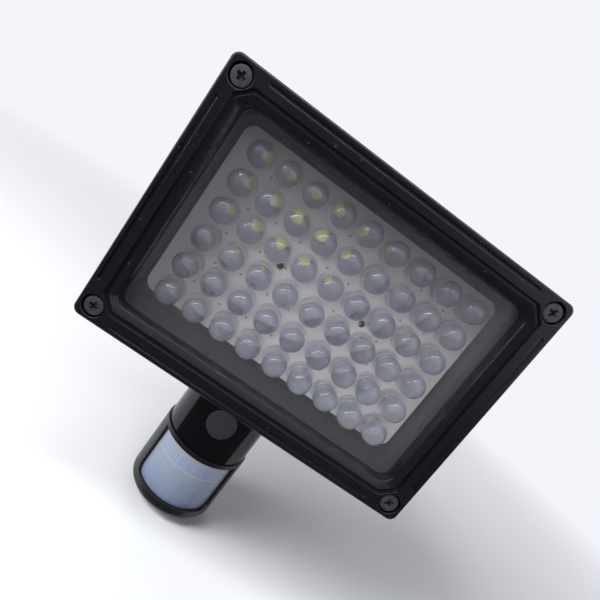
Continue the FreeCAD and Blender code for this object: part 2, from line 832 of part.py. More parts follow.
def ribs(sign, first, steps):
    """A row of cooling ribs above (1) or below (-1) the tub, from the rib at first to the right."""
    rib = housing.sketch("YZ_Plane", d.rib_pitch * first)
    polygon(rib, [
        (deep(flange_back), sign * rib_front),
        (deep(flange_back), sign * (rib_front + d.rib_rise)),
        (deep(housing_back - d.rib_rise), sign * (rib_front + d.rib_rise)),
        (deep(housing_back), sign * (rib_back + d.rib_rise)),
        (deep(housing_back), sign * rib_back),
    ])
    ridge = housing.pad(rib, d.rib_thick, both=True)
    housing.repeat(ridge, "X_Axis", d.rib_pitch * steps, round(steps.number) + 1)


ribs(1, -d.rib_steps, 2 * d.rib_steps)
ribs(-1, -d.rib_steps, d.rib_steps - d.rib_skip)
ribs(-1, d.rib_skip, d.rib_steps - d.rib_skip)
keep("rear_housing")

# Housing gasket: a rubber ring in the flange's groove, pressed by the bezel's locating wall.

gasket = Moulding("housing_gasket")
gasket_outline = gasket.front(d.bezel_depth)
plate(gasket_outline, gasket_width, gasket_height, gasket_corner)
plate(gasket_outline, gasket_width - 2 * d.gasket_wide, gasket_height - 2 * d.gasket_wide,
      gasket_corner - d.gasket_wide)
gasket.pad(gasket_outline, d.gasket_thick, back=True)
keep("housing_gasket")

# Clamp inserts: a brass threaded bush in each side boss.

bushes = []
for x in (boss_face - d.insert_length, -boss_face):
    outer = rod(d.insert_radius, d.insert_length, x, pivot_y, 0, "x")
    inner = rod(d.stud_radius + d.pin_clearance, d.insert_length, x, pivot_y, 0, "x")
    bushes.append(cut("clamp_insert", outer, inner))
group("clamp_inserts", *bushes)
keep("clamp_inserts")

# Control board behind the tray, its parts and its screws.

control = Moulding("control_board")
control_outline = control.front(control_front)
plate(control_outline, d.control_width, d.control_height, d.board_corner)
for x, z in corners(control_x, control_z):
    disc(control_outline, d.door_screw_radius + d.screw_clearance, x, z)
control.pad(control_outline, d.board_thick, back=True)
keep("control_board")

control_screws = []
for x, z in corners(control_x, control_z):
    head = rod(d.door_screw_head_radius, d.door_screw_head, x, deep(control_back), z, "y")
    shank = rod(d.door_screw_radius, d.control_post, x, deep(control_back - d.control_post), z, "y")
    control_screws.append(fuse("control_screw", head, shank))
group("control_screws", *control_screws)
keep("control_screws")

parts = []
parts_y = deep(control_back)
for x in (-1, 1):
    parts.append(rod(d.capacitor_radius, d.capacitor_height, x * d.part_pitch, parts_y, d.part_pitch, "y"))
parts.append(block((-d.chip_size, d.chip_size), (parts_y, parts_y + d.chip_height),
                   (-d.chip_size / 2, d.chip_size / 2)))
for x in (-2, -1, 1, 2):
    low = x * d.part_pitch / 2 - d.chip_height
    parts.append(block((low, low + 2 * d.chip_height), (parts_y, parts_y + d.chip_height),
                       (-d.part_pitch - d.chip_size / 2, -d.part_pitch + d.chip_size / 2)))
group("control_parts", *parts)
keep("control_parts")

# Battery: three cells side by side in a moulded cradle, with a contact strip at each end.

cradle = Moulding("battery_cradle")
cradle_tub = cradle.front(cradle_front)
plate(cradle_tub, cradle_width, cradle_height, d.doorway_corner + d.cradle_wall)
cradle.pad(cradle_tub, housing_inside - cradle_front, back=True)
cradle_lip = cradle.front(housing_inside - d.cradle_wall)
plate(cradle_lip, door_width, door_height, d.door_corner)
cradle.pad(cradle_lip, d.cradle_wall, back=True)
cradle_room = cradle.front(cradle_inside)
plate(cradle_room, doorway_width, doorway_height, d.doorway_corner)
cradle.pocket(cradle_room, housing_inside - cradle_inside)
cradle_holes = cradle.front(housing_inside - d.cradle_wall)
for x, z in corners(door_screw_x, door_screw_z):
    disc(cradle_holes, d.door_screw_radius + d.screw_clearance, x, z)
cradle.pocket(cradle_holes, d.cradle_wall)
keep("battery_cradle")

cell_y = deep(cradle_inside + d.cell_gap + d.cell_radius)
cells = [rod(d.cell_radius, d.cell_length, -d.cell_length / 2, cell_y, n * d.cell_pitch, "x")
         for n in (-1, 0, 1)]
group("battery_cells", *cells)
keep("battery_cells")

strips = []
strip_out = d.cell_length / 2 + d.contact_room
spring_length = d.contact_room - d.contact_thick - d.cell_gap
for side in (1, -1):
    faces = (side * (strip_out - d.contact_thick), side * strip_out)
    low, high = sorted(faces, key=lambda value: value.number)
    strip = block((low, high), (cell_y - d.contact_half_wide, cell_y + d.contact_half_wide),
                  (-d.cell_pitch - d.contact_half_wide, d.cell_pitch + d.contact_half_wide))
    start = strip_out - d.contact_thick - spring_length if side > 0 else d.contact_thick - strip_out
    springs = [rod(d.contact_half_wide / 2, spring_length, start, cell_y, n * d.cell_pitch, "x")
               for n in (-1, 0, 1)]
    strips.append(fuse("contact_strip", strip, *springs))
group("battery_contacts", *strips)
keep("battery_contacts")

# Battery door with its seal and four screws.

door_seal = Moulding("door_seal")
door_ring = door_seal.front(housing_back)
plate(door_ring, doorway_width + d.door_screw_inset, doorway_height + d.door_screw_inset, d.door_corner)
plate(door_ring, doorway_width, doorway_height, d.doorway_corner)
door_seal.pad(door_ring, d.door_seal, back=True)
keep("door_seal")

door = Moulding("battery_door")
door_back = housing_back + d.door_seal + d.door_thick
door_outline = door.front(housing_back + d.door_seal)
plate(door_outline, door_width, door_height, d.door_corner)
door.pad(door_outline, d.door_thick, back=True)
door_feet = door.front(housing_back)
door_holes = door.front(housing_back)
for x, z in corners(door_screw_x, door_screw_z):
    disc(door_feet, d.door_screw_head_radius, x, z)
    disc(door_holes, d.door_screw_radius + d.screw_clearance, x, z)
door.pad(door_feet, d.door_seal, back=True)
door.pocket(door_holes, d.door_seal + d.door_thick)
door_ribs = door.front(door_back)
for n in (-1, 0, 1):
    slot(door_ribs, 0, n * d.cell_pitch / 2, d.cell_pitch, d.rib_thick / 2)
door.pad(door_ribs, d.rib_thick / 2, back=True)
keep("battery_door")

door_screws = []
for x, z in corners(door_screw_x, door_screw_z):
    head = rod(d.door_screw_head_radius, d.door_screw_head, x, deep(door_back), z, "y")
    shank_front = housing_inside - 2 * d.cradle_wall
    shank = rod(d.door_screw_radius, door_back - shank_front, x, deep(shank_front), z, "y")
    door_screws.append(fuse("door_screw", head, shank))
group("door_screws", *door_screws)
keep("door_screws")

# Charging socket: a flanged barrel through the rear wall, a nut inside and a rubber dust cap outside.

socket = Moulding("charge_socket", d.fitting_x, 0, -d.fitting_z)
barrel = socket.front(housing_inside - d.socket_tail)
disc(barrel, d.socket_radius)
socket.pad(barrel, housing_back - housing_inside + d.socket_tail, back=True)
socket_flange = socket.front(housing_back)
disc(socket_flange, d.socket_flange_radius)
socket.pad(socket_flange, d.socket_flange, back=True)
keep("charge_socket")

nut = Moulding("socket_nut", d.fitting_x, 0, -d.fitting_z)
nut_outline = nut.front(housing_inside - d.door_thick)
disc(nut_outline, d.socket_flange_radius - d.socket_gap)
disc(nut_outline, d.socket_radius)
nut.pad(nut_outline, d.door_thick, back=True)
keep("socket_nut")

cap = Moulding("socket_cap", d.fitting_x, 0, -d.fitting_z)
cap_outline = cap.front(housing_back + d.socket_flange)
disc(cap_outline, d.cap_radius)
cap.pad(cap_outline, d.cap_height, back=True)
cap_back = deep(housing_back + d.socket_flange + d.cap_height).number
cap.dress("Chamfer", "Size", d.cap_bevel, lambda edge: edge.BoundBox.YMin > cap_back - 0.01)
keep("socket_cap")

# Push switch: a block inside the rear wall and a button through it, in a raised collar.

switch = Moulding("switch_block", -d.fitting_x, 0, -d.fitting_z)
switch_outline = switch.front(housing_inside - d.switch_depth)
plate(switch_outline, 2 * d.socket_flange_radius, 2 * d.socket_flange_radius, d.button_travel)
switch.pad(switch_outline, d.switch_depth, back=True)
switch_well = switch.front(housing_inside - d.switch_well)
disc(switch_well, d.button_radius + d.button_clearance)
switch.pocket(switch_well, d.switch_well)
keep("switch_block")

collar = Moulding("switch_collar", -d.fitting_x, 0, -d.fitting_z)
collar_outline = collar.front(housing_back)
disc(collar_outline, d.socket_flange_radius)
disc(collar_outline, d.button_radius + d.button_clearance)
collar.pad(collar_outline, d.socket_flange, back=True)
keep("switch_collar")

button = Moulding("mode_button", -d.fitting_x, 0, -d.fitting_z)
button_front = housing_inside - d.switch_well + d.button_travel + d.cell_gap
button_outline = button.front(button_front)
disc(button_outline, d.button_radius)
button.pad(button_outline, housing_back + d.button_rise - button_front, back=True)
button_back = deep(housing_back + d.button_rise).number
button.dress("Chamfer", "Size", d.button_bevel, lambda edge: edge.BoundBox.YMin > button_back - 0.01)
keep("mode_button")

# Wall bracket: one bent steel strap with rounded arms, a stud hole in each arm, and a centre hole with two
# slots in its back.

arm_in = boss_face + d.washer_thick + d.running_gap
arm_out = arm_in + d.strap_thick
bracket = Moulding("wall_bracket")
strap = bracket.sketch("XY_Plane")
polygon(strap, [
    (-arm_out, 0), (arm_out, 0), (arm_out, pivot_y), (arm_in, pivot_y), (arm_in, -d.strap_thick),
    (-arm_in, -d.strap_thick), (-arm_in, pivot_y), (-arm_out, pivot_y),
])
bracket.pad(strap, 2 * d.strap_half_wide, both=True)


def bend(at_y):
    def wanted(edge):
        box = edge.BoundBox
        return box.ZLength > box.XLength + box.YLength and abs(box.YMin - at_y) < 0.01
    return wanted


bracket.dress("Fillet", "Radius", d.strap_bend, bend(0))
bracket.dress("Fillet", "Radius", d.strap_bend - d.strap_thick, bend(-d.strap_thick.number))
for side, back in ((1, False), (-1, True)):
    tip = bracket.sketch("YZ_Plane", side * arm_in)
    disc(tip, d.strap_half_wide, pivot_y, 0)
    bracket.pad(tip, d.strap_thick, back=back)
stud_holes = bracket.sketch("YZ_Plane")
disc(stud_holes, d.stud_hole_radius, pivot_y, 0)
bracket.pocket(stud_holes, 2 * arm_out + d.strap_thick, both=True)
wall_holes = bracket.sketch("XZ_Plane", d.strap_thick)
disc(wall_holes, d.wall_hole_radius)
for side in (1, -1):
    slot(wall_holes, side * d.slot_pitch / 2, 0, d.slot_length - 2 * d.slot_radius, d.slot_radius)
bracket.pocket(wall_holes, d.strap_thick)
keep("wall_bracket")

# Friction washers between the housing's bosses and the bracket's arms.

rings = []
for x in (boss_face, -boss_face - d.washer_thick):
    outer = rod(d.washer_radius, d.washer_thick, x, pivot_y, 0, "x")
    inner = rod(d.stud_hole_radius, d.washer_thick, x, pivot_y, 0, "x")
    rings.append(cut("friction_washer", outer, inner))
group("friction_washers", *rings)
keep("friction_washers")

# Clamp knobs: a lobed knob on a steel stud, with a plain washer, one on each side.

washer_in = arm_out + d.running_gap
knob_in = washer_in + d.washer_thick
stud_in = boss_face - d.insert_length + d.washer_thick
for side, name in ((1, "right"), (-1, "left")):
    knob = Moulding(f"{name}_knob")
    knob_outline = knob.sketch("YZ_Plane", side * knob_in)
    disc(knob_outline, d.knob_radius, pivot_y, 0)
    knob.pad(knob_outline, d.knob_thick, back=side < 0)
    lobes = knob.sketch("YZ_Plane", side * knob_in)
    for n in range(5):
        turn = math.radians(90 + 72 * n)
        out = d.knob_radius + d.knob_scallop / 2
        disc(lobes, d.knob_scallop, pivot_y + round(math.cos(turn), 6) * out, round(math.sin(turn), 6) * out)
    knob.pocket(lobes, d.knob_thick, back=side > 0)
    socket_hole = knob.sketch("YZ_Plane", side * knob_in)
    disc(socket_hole, d.stud_radius, pivot_y, 0)
    knob.pocket(socket_hole, d.knob_thick / 2, back=side > 0)
    keep(f"{name}_knob")

    stud_length = knob_in + d.knob_thick / 2 - stud_in
    stud_start = stud_in if side > 0 else -stud_in - stud_length
    rod(d.stud_radius, stud_length, stud_start, pivot_y, 0, "x").Label = f"{name}_stud"
    keep(f"{name}_stud")

    x = washer_in if side > 0 else -knob_in
    outer = rod(d.washer_radius, d.washer_thick, x, pivot_y, 0, "x")
    inner = rod(d.stud_radius, d.washer_thick, x, pivot_y, 0, "x")
    cut(f"{name}_washer", outer, inner)
    keep(f"{name}_washer")

# Sensor turret: a flanged spigot that pans in the housing's boss, with two ears below for the tilt screw.

turret_top = turret_face - d.turret_gap
turret_low = turret_top - d.turret_flange
tilt_z = turret_low - d.turret_gap - d.lug_radius
pod_top = tilt_z - d.lug_radius - d.lug_neck
clip_low = turret_face + d.bearing_height + d.turret_gap
clip_top = clip_low + d.clip_thick
groove_radius = d.spigot_radius - d.clip_groove
turret = Moulding("sensor_turret", 0, sensor_y, 0)
turret_section = turret.sketch("XZ_Plane")
polygon(turret_section, [
    (d.wire_bore, turret_low), (d.turret_radius, turret_low), (d.turret_radius, turret_top),
    (d.spigot_radius, turret_top), (d.spigot_radius, clip_low), (groove_radius, clip_low),
    (groove_radius, clip_top), (d.spigot_radius, clip_top), (d.spigot_radius, clip_top + d.clip_groove),
    (d.wire_bore, clip_top + d.clip_groove),
])
turret.turn("Revolution", turret_section)
ear_in = d.lug_wide / 2 + d.ear_gap
ear_out = ear_in + d.ear_wide
for side, back in ((1, False), (-1, True)):
    ear = turret.sketch("YZ_Plane", side * ear_in)
    polygon(ear, [
        (-d.lug_radius, tilt_z), (d.lug_radius, tilt_z), (d.lug_radius, turret_low + d.turret_flange / 2),
        (-d.lug_radius, turret_low + d.turret_flange / 2),
    ])
    turret.pad(ear, d.ear_wide, back=back)
    tip = turret.sketch("YZ_Plane", side * ear_in)
    disc(tip, d.lug_radius, 0, tilt_z)
    turret.pad(tip, d.ear_wide, back=back)
ear_bore = turret.sketch("YZ_Plane")
disc(ear_bore, d.pin_radius, 0, tilt_z)
turret.pocket(ear_bore, 2 * ear_out + d.ear_wide, both=True)
keep("sensor_turret")

clip_outer = rod(d.spigot_radius + d.clip_out, d.clip_thick, 0, sensor_y, clip_low, "z")
clip_inner = rod(groove_radius, d.clip_thick, 0, sensor_y, clip_low, "z")
cut("turret_clip", clip_outer, clip_inner)
keep("turret_clip")

pin = rod(d.pin_radius, 2 * ear_out + d.pin_nut, -ear_out - d.pin_nut, sensor_y, tilt_z, "x")
pin_head = rod(2 * d.pin_radius, d.pin_head, ear_out, sensor_y, tilt_z, "x")
fuse("tilt_screw", pin, pin_head)
keep("tilt_screw")
pin_nut = hexagon(4 * d.pin_radius - d.ear_gap, d.pin_nut, -ear_out - d.pin_nut, sensor_y, tilt_z, "x")
nut_bore = rod(d.pin_radius, d.pin_nut, -ear_out - d.pin_nut, sensor_y, tilt_z, "x")
cut("tilt_nut", pin_nut, nut_bore)
keep("tilt_nut")

# Sensor upper shell: a glossy cap with a lug on top for the tilt screw, a round hole for the daylight window
# and two screw columns inside.

shell_low = pod_top - d.cap_shell_height
shell_inner = d.cap_shell_radius - d.shell_wall
eye_z = pod_top - d.eye_drop
upper = Moulding("sensor_upper_shell", 0, sensor_y, 0)
upper_section = upper.sketch("XZ_Plane")
polygon(upper_section, [
    (0, pod_top), (d.cap_shell_radius, pod_top), (d.cap_shell_radius, shell_low), (shell_inner, shell_low),
    (shell_inner, pod_top - d.shell_wall), (0, pod_top - d.shell_wall),
])
upper.turn("Revolution", upper_section)


def level_ring(z, radius):
    """Picks the round edges of one height and radius."""
    def wanted(edge):
        box = edge.BoundBox
        flat = abs(box.ZMin - z.number) < 0.01 and abs(box.ZMax - z.number) < 0.01
        return flat and isinstance(edge.Curve, Part.Circle) and abs(edge.Curve.Radius - radius.number) < 0.01
    return wanted


upper.dress("Chamfer", "Size", d.cap_shell_bevel, level_ring(pod_top, d.cap_shell_radius))
lug = upper.sketch("YZ_Plane")
polygon(lug, [
    (-d.lug_radius, pod_top - d.shell_wall / 2), (d.lug_radius, pod_top - d.shell_wall / 2),
    (d.lug_radius, tilt_z), (-d.lug_radius, tilt_z),
])
upper.pad(lug, d.lug_wide, both=True)
lug_tip = upper.sketch("YZ_Plane")
disc(lug_tip, d.lug_radius, 0, tilt_z)
upper.pad(lug_tip, d.lug_wide, both=True)
lug_bore = upper.sketch("YZ_Plane")
disc(lug_bore, d.pin_radius + d.pin_clearance, 0, tilt_z)
upper.pocket(lug_bore, 2 * d.lug_wide, both=True)
upper_columns = upper.sketch("XY_Plane", shell_low)
upper_pilots = upper.sketch("XY_Plane", shell_low)
for side in (1, -1):
    disc(upper_columns, d.pod_column_radius - d.pod_column_step, side * d.pod_screw_x, d.pod_screw_back)
    disc(upper_pilots, d.pod_screw_radius + d.screw_clearance, side * d.pod_screw_x, d.pod_screw_back)
upper.pad(upper_columns, d.cap_shell_height - d.shell_wall / 2)
upper.pocket(upper_pilots, d.pod_screw_grip, back=True)
eye_hole = upper.sketch("XZ_Plane")
disc(eye_hole, d.eye_radius, 0, eye_z)
upper.pocket(eye_hole, d.pod_radius, back=True)
keep("sensor_upper_shell")

# Sensor lower shell: a cup with a brow over the lens window, two deep screw columns and three knob holes.

brow_low = shell_low - d.brow
lens_low = brow_low - d.lens_window
pod_low = lens_low - d.pod_rim
pod_inner = d.pod_radius - d.pod_wall
lower = Moulding("sensor_lower_shell", 0, sensor_y, 0)
lower_section = lower.sketch("XZ_Plane")
polygon(lower_section, [
    (0, pod_low), (d.pod_radius, pod_low), (d.pod_radius, shell_low), (shell_inner, shell_low),
    (shell_inner, brow_low), (pod_inner, brow_low), (pod_inner, pod_low + d.pod_floor),
    (0, pod_low + d.pod_floor),
])
lower.turn("Revolution", lower_section)
lower.dress("Chamfer", "Size", d.pod_bevel, level_ring(pod_low, d.pod_radius))
lens_cut = lower.sketch("XY_Plane", lens_low)
side_cut = d.pod_radius + d.pod_wall
side_back = side_cut * cotangent(d.lens_window_angle)
polygon(lens_cut, [
    (0, 0), (-side_cut, -side_back), (-side_cut, -side_cut), (side_cut, -side_cut), (side_cut, -side_back),
])
lower.pocket(lens_cut, d.lens_window, back=True)


def window_sill(edge):
    box = edge.BoundBox
    flat = abs(box.ZMin - lens_low.number) < 0.01 and abs(box.ZMax - lens_low.number) < 0.01
    return flat and edge.Length < 2 * d.pod_wall.number and isinstance(edge.Curve, Part.Line)


lower.dress("Fillet", "Radius", d.lens_window_corner, window_sill)
lower_columns = lower.sketch("XY_Plane", pod_low + d.pod_floor / 2)
lower_counterbores = lower.sketch("XY_Plane", pod_low)
lower_holes = lower.sketch("XY_Plane", pod_low)
screw_seat = shell_low - d.pod_screw_seat
for side in (1, -1):
    disc(lower_columns, d.pod_column_radius, side * d.pod_screw_x, d.pod_screw_back)
    disc(lower_counterbores, d.pod_screw_head_radius + d.running_gap, side * d.pod_screw_x, d.pod_screw_back)
    disc(lower_holes, d.pod_screw_radius + d.screw_clearance, side * d.pod_screw_x, d.pod_screw_back)
lower.pad(lower_columns, shell_low - pod_low - d.pod_floor / 2)
lower.pocket(lower_counterbores, screw_seat - pod_low, back=True)
lower.pocket(lower_holes, shell_low - pod_low, back=True)
knob_holes = lower.sketch("XY_Plane", pod_low)
knob_y = -d.sensor_board_back - d.trimmer_size / 2
for n in (-1, 0, 1):
    disc(knob_holes, d.set_shaft_radius + d.set_shaft_clearance, n * d.trimmer_pitch, knob_y)
lower.pocket(knob_holes, d.pod_floor, back=True)
keep("sensor_lower_shell")

# Fresnel lens: a bent sheet held inside the lower shell's window.

lens = Moulding("fresnel_lens", 0, sensor_y, 0)
lens_section = lens.sketch("YZ_Plane")
lens_outer = pod_inner - d.lens_gap
lens_inner = lens_outer - d.lens_thick
polygon(lens_section, [
    (-lens_outer, lens_low - d.lens_lap), (-lens_inner, lens_low - d.lens_lap),
    (-lens_inner, brow_low - d.lens_gap), (-lens_outer, brow_low - d.lens_gap),
])
bow = lens.turn("Revolution", lens_section)
bow.Midplane = True
bind(bow, "Angle", 2 * (d.lens_window_angle + d.lens_lap_angle))
keep("fresnel_lens")

# Daylight window: a smoked disc, curved to lie flush in the upper shell.

eye_outer = rod(d.cap_shell_radius, 2 * d.eye_radius, 0, sensor_y, eye_z - d.eye_radius, "z")
eye_inner = rod(shell_inner, 2 * d.eye_radius, 0, sensor_y, eye_z - d.eye_radius, "z")
eye_round = rod(d.eye_radius - d.eye_gap, d.pod_radius, 0, sensor_y - d.pod_radius, eye_z, "y")
eye = doc.addObject("Part::Common", "daylight_window")
eye.Base = cut("eye_wall", eye_outer, eye_inner)
eye.Tool = eye_round
eye.Label = "daylight_window"
keep("daylight_window")

# Sensor board, with the pyroelectric detector at the lens's centre, the photocell behind the daylight window
# and three trimmers at its foot.

board_face = sensor_y + d.sensor_board_back
board_reach = d.sensor_board_back + d.sensor_board_thick
half_board = root(shell_inner * shell_inner - board_reach * board_reach) - d.ear_gap
block((-half_board, half_board), (board_face, board_face + d.sensor_board_thick),
      (pod_low + d.pod_floor + d.turret_gap, eye_z + d.eye_radius)).Label = "sensor_board"
keep("sensor_board")
rod(d.detector_radius, d.detector_height, 0, board_face - d.detector_height,
    pod_low + d.detector_rise, "y").Label = "pyro_detector"
keep("pyro_detector")
cell_face = board_face - d.photocell_height
rod(d.photocell_radius, d.photocell_height, 0, cell_face, eye_z, "y").Label = "photocell"
keep("photocell")
trimmers = []
trimmer_low = pod_low + d.pod_floor + d.turret_gap
for n in (-1, 0, 1):
    x = n * d.trimmer_pitch
    case = block((x - d.trimmer_size / 2, x + d.trimmer_size / 2),
                 (sensor_y + knob_y - d.trimmer_size / 2, board_face),
                 (trimmer_low, trimmer_low + d.trimmer_size))
    hole = rod(d.set_shaft_radius + d.set_shaft_clearance, d.trimmer_size / 2, x, sensor_y + knob_y,
               trimmer_low, "z")
    trimmers.append(cut("trimmer", case, hole))
group("trimmers", *trimmers)
keep("trimmers")

# Setting knobs under the sensor: a slotted disc on a shaft that reaches its trimmer.

for n, name in ((-1, "range_knob"), (0, "lux_knob"), (1, "time_knob")):
    x = n * d.trimmer_pitch
    knob_top = pod_low - d.turret_gap
    knob_low = knob_top - d.set_knob_height
    disc_part = rod(d.set_knob_radius, d.set_knob_height, x, sensor_y + knob_y, knob_low, "z")
    shaft = rod(d.set_shaft_radius, trimmer_low + d.trimmer_size / 2 - d.turret_gap - knob_top,
                x, sensor_y + knob_y, knob_top, "z")
    kerf = block((x - d.set_kerf / 2, x + d.set_kerf / 2),
                 (sensor_y + knob_y - d.set_knob_radius, sensor_y + knob_y + d.set_knob_radius),
                 (knob_low, knob_low + d.set_kerf))
    cut(name, fuse("setting_knob", disc_part, shaft), kerf)
    keep(name)

# Sensor screws, up through the lower shell's columns into the upper shell's.

sensor_screws = []
for side in (1, -1):
    x, y = side * d.pod_screw_x, sensor_y + d.pod_screw_back
    head = rod(d.pod_screw_head_radius, d.door_screw_head, x, y, screw_seat - d.door_screw_head, "z")
    shank = rod(d.pod_screw_radius, d.pod_screw_seat + d.pod_screw_grip - d.turret_gap, x, y, screw_seat, "z")
    sensor_screws.append(fuse("sensor_screw", head, shank))
group("sensor_screws", *sensor_screws)
keep("sensor_screws")

# Every feature has to have worked before anything is written.

doc.recompute()
failed = [thing.Label for thing in doc.Objects if set(thing.State) & {"Invalid", "Error"}]
if failed:
    raise RuntimeError(f"failed: {failed}")
os.makedirs("parts", exist_ok=True)
for node in nodes:
    shape = doc.getObjectsByLabel(node)[0].Shape
    if shape.isNull() or not shape.isValid() or not shape.Solids:
        raise RuntimeError(f"{node}: no valid solid")
    shape.exportStep(f"parts/{node}.step")
    box = shape.BoundBox
    print(f"{node:20s} {len(shape.Solids):2d} solids {shape.Volume / 1000:8.2f} cm3  "
          f"x {box.XMin:.1f} {box.XMax:.1f}  y {box.YMin:.1f} {box.YMax:.1f}  "
          f"z {box.ZMin:.1f} {box.ZMax:.1f}")
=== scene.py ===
import json
import math

import bmesh
import bpy
from mathutils import Matrix, Vector


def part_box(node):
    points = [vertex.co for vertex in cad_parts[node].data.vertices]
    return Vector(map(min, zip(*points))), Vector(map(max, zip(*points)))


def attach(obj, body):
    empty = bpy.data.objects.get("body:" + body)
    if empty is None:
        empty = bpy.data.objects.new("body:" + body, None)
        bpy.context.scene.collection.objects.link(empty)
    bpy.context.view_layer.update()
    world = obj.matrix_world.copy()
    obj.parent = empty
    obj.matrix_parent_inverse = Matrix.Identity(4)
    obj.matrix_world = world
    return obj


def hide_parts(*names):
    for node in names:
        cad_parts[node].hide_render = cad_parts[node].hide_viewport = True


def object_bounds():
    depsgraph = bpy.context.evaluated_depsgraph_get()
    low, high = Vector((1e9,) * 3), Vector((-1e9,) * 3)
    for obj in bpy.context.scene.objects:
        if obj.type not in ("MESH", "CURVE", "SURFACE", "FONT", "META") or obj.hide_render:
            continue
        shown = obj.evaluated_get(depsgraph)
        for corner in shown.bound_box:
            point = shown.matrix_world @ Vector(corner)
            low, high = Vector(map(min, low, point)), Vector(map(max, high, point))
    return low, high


# A security floodlight head on its wall bracket, with a motion sensor hanging below it. The pieces follow in
# the order in which the lamp is put together. Metres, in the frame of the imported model: the wall is the plane
# y = 0, the lamp looks along -Y and +Z is up.

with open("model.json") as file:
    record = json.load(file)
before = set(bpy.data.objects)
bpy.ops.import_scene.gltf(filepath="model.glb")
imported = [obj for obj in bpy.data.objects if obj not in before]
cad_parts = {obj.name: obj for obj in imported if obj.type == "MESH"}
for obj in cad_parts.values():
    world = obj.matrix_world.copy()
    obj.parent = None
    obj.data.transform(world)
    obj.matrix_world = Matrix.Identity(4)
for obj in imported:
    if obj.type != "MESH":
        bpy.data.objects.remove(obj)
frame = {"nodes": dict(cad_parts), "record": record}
cad_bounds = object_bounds()
MM = 0.001
body_of = {node: body for body, nodes in frame["record"]["behaviour"]["bodies"].items() for node in nodes}


# Wall bracket: a strap of 3 mm steel, sheared, bent to a U and powder coated. The coat rounds the sheared
# edges a little and leaves a fine orange-peel texture.

class Wire:
    """A node's output. Arithmetic on it adds Math nodes to its tree."""

    def __init__(self, tree, socket):
        self.tree = tree
        self.socket = socket

    def maths(self, operation, *values):
        return self.tree.node("ShaderNodeMath", dict(enumerate(values)), operation=operation)

    def __add__(self, other):
        return self.maths("ADD", self, other)

    def __radd__(self, other):
        return self.maths("ADD", other, self)

    def __sub__(self, other):
        return self.maths("SUBTRACT", self, other)

    def __rsub__(self, other):
        return self.maths("SUBTRACT", other, self)

    def __mul__(self, other):
        return self.maths("MULTIPLY", self, other)

    def __gt__(self, other):
        return self.maths("GREATER_THAN", self, other)

    def __lt__(self, other):
        return self.maths("LESS_THAN", self, other)


class Tree:
    """A node tree, of a material, the world or a geometry modifier."""

    def __init__(self, nodes, links):
        self.nodes = nodes
        self.links = links

    def feed(self, socket, value):
        if isinstance(value, Wire):
            self.links.new(value.socket, socket)
        else:
            socket.default_value = value

    def node(self, kind, values=None, output=0, stops=None, **settings):
        """Adds a node: its settings first, then its ramp's stops, then a value or a link for each socket."""
        made = self.nodes.new(kind)
        for name, setting in settings.items():
            setattr(made, name, setting)
        if stops:
            ramp = made.color_ramp
            for element, (place, colour) in zip([ramp.elements[0], ramp.elements[1]], stops[:2]):
                element.position = place
                element.color = colour
            for place, colour in stops[2:]:
                ramp.elements.new(place).color = colour
        for socket, value in (values or {}).items():
            self.feed(made.inputs[socket], value)
        return Wire(self, made.outputs[output])


class Finish(Tree):
    """A material with one Principled shader."""

    def __init__(self, name, colour, roughness, **values):
        self.material = bpy.data.materials.new(name)
        self.material.use_nodes = True
        super().__init__(self.material.node_tree.nodes, self.material.node_tree.links)
        self.shader = self.nodes["Principled BSDF"]
        self.place = self.node("ShaderNodeTexCoord", output="Object")
        self.set({"Base Color": (*colour, 1), "Roughness": roughness, **values})

    def set(self, values):
        for socket, value in values.items():
            self.feed(self.shader.inputs[socket], value)

    def noise(self, size, detail=2.0, vector=None):
        """Even noise from 0 to 1, with features of about the given size in metres."""
        values = {"Vector": vector or self.place, "Scale": 1 / size, "Detail": detail}
        return self.node("ShaderNodeTexNoise", values)

    def blend(self, factor, first, second):
        """A mix of two colours."""
        ends = [end if isinstance(end, Wire) else (*end, 1) for end in (first, second)]
        values = {0: factor, 6: ends[0], 7: ends[1]}
        return self.node("ShaderNodeMix", values, output=2, data_type="RGBA")

    def bump(self, height, depth, edges=0.0):
        """Raises the surface by depth where height is 1. Edges are shaded as if they had the given radius."""
        values = {"Height": height, "Distance": depth, "Strength": 1.0}
        if edges:
            values["Normal"] = self.node("ShaderNodeBevel", {"Radius": edges}, samples=8)
        self.set({"Normal": self.node("ShaderNodeBump", values)})

    def cover(self, factor, other):
        """Shows another shader in place of what the surface has, by the factor."""
        surface = self.nodes["Material Output"].inputs["Surface"]
        own = Wire(self, surface.links[0].from_socket)
        self.feed(surface, self.node("ShaderNodeMixShader", {0: factor, 1: own, 2: other}))


def moulded(name, colour, roughness, grain=0.25 * MM, depth=0.006 * MM, dust=0.0, edges=0.0, **values):
    """Moulded plastic: the tool's fine grain, slow changes of gloss, and a little dust on what is handled."""
    finish = Finish(name, colour, roughness, **values)
    grains = finish.noise(grain)
    clouds = finish.noise(14 * MM, detail=4.0)
    finish.set({"Roughness": roughness + (clouds - 0.5) * 0.16 + (grains - 0.5) * 0.08})
    tint = finish.blend(clouds, [part * 0.8 for part in colour], [part * 1.2 for part in colour])
    if dust:
        specks = finish.noise(1.1 * MM, detail=0.0) > 0.84
        tint = finish.blend(specks * dust, tint, (0.06, 0.058, 0.06))
    finish.set({"Base Color": tint})
    finish.bump(grains, depth, edges)
    return finish.material


def added(name, mesh, material=None):
    """Puts a mesh in the scene as an object."""
    piece = bpy.data.objects.new(name, mesh)
    bpy.context.scene.collection.objects.link(piece)
    if material:
        mesh.materials.clear()
        mesh.materials.append(material)
    return piece


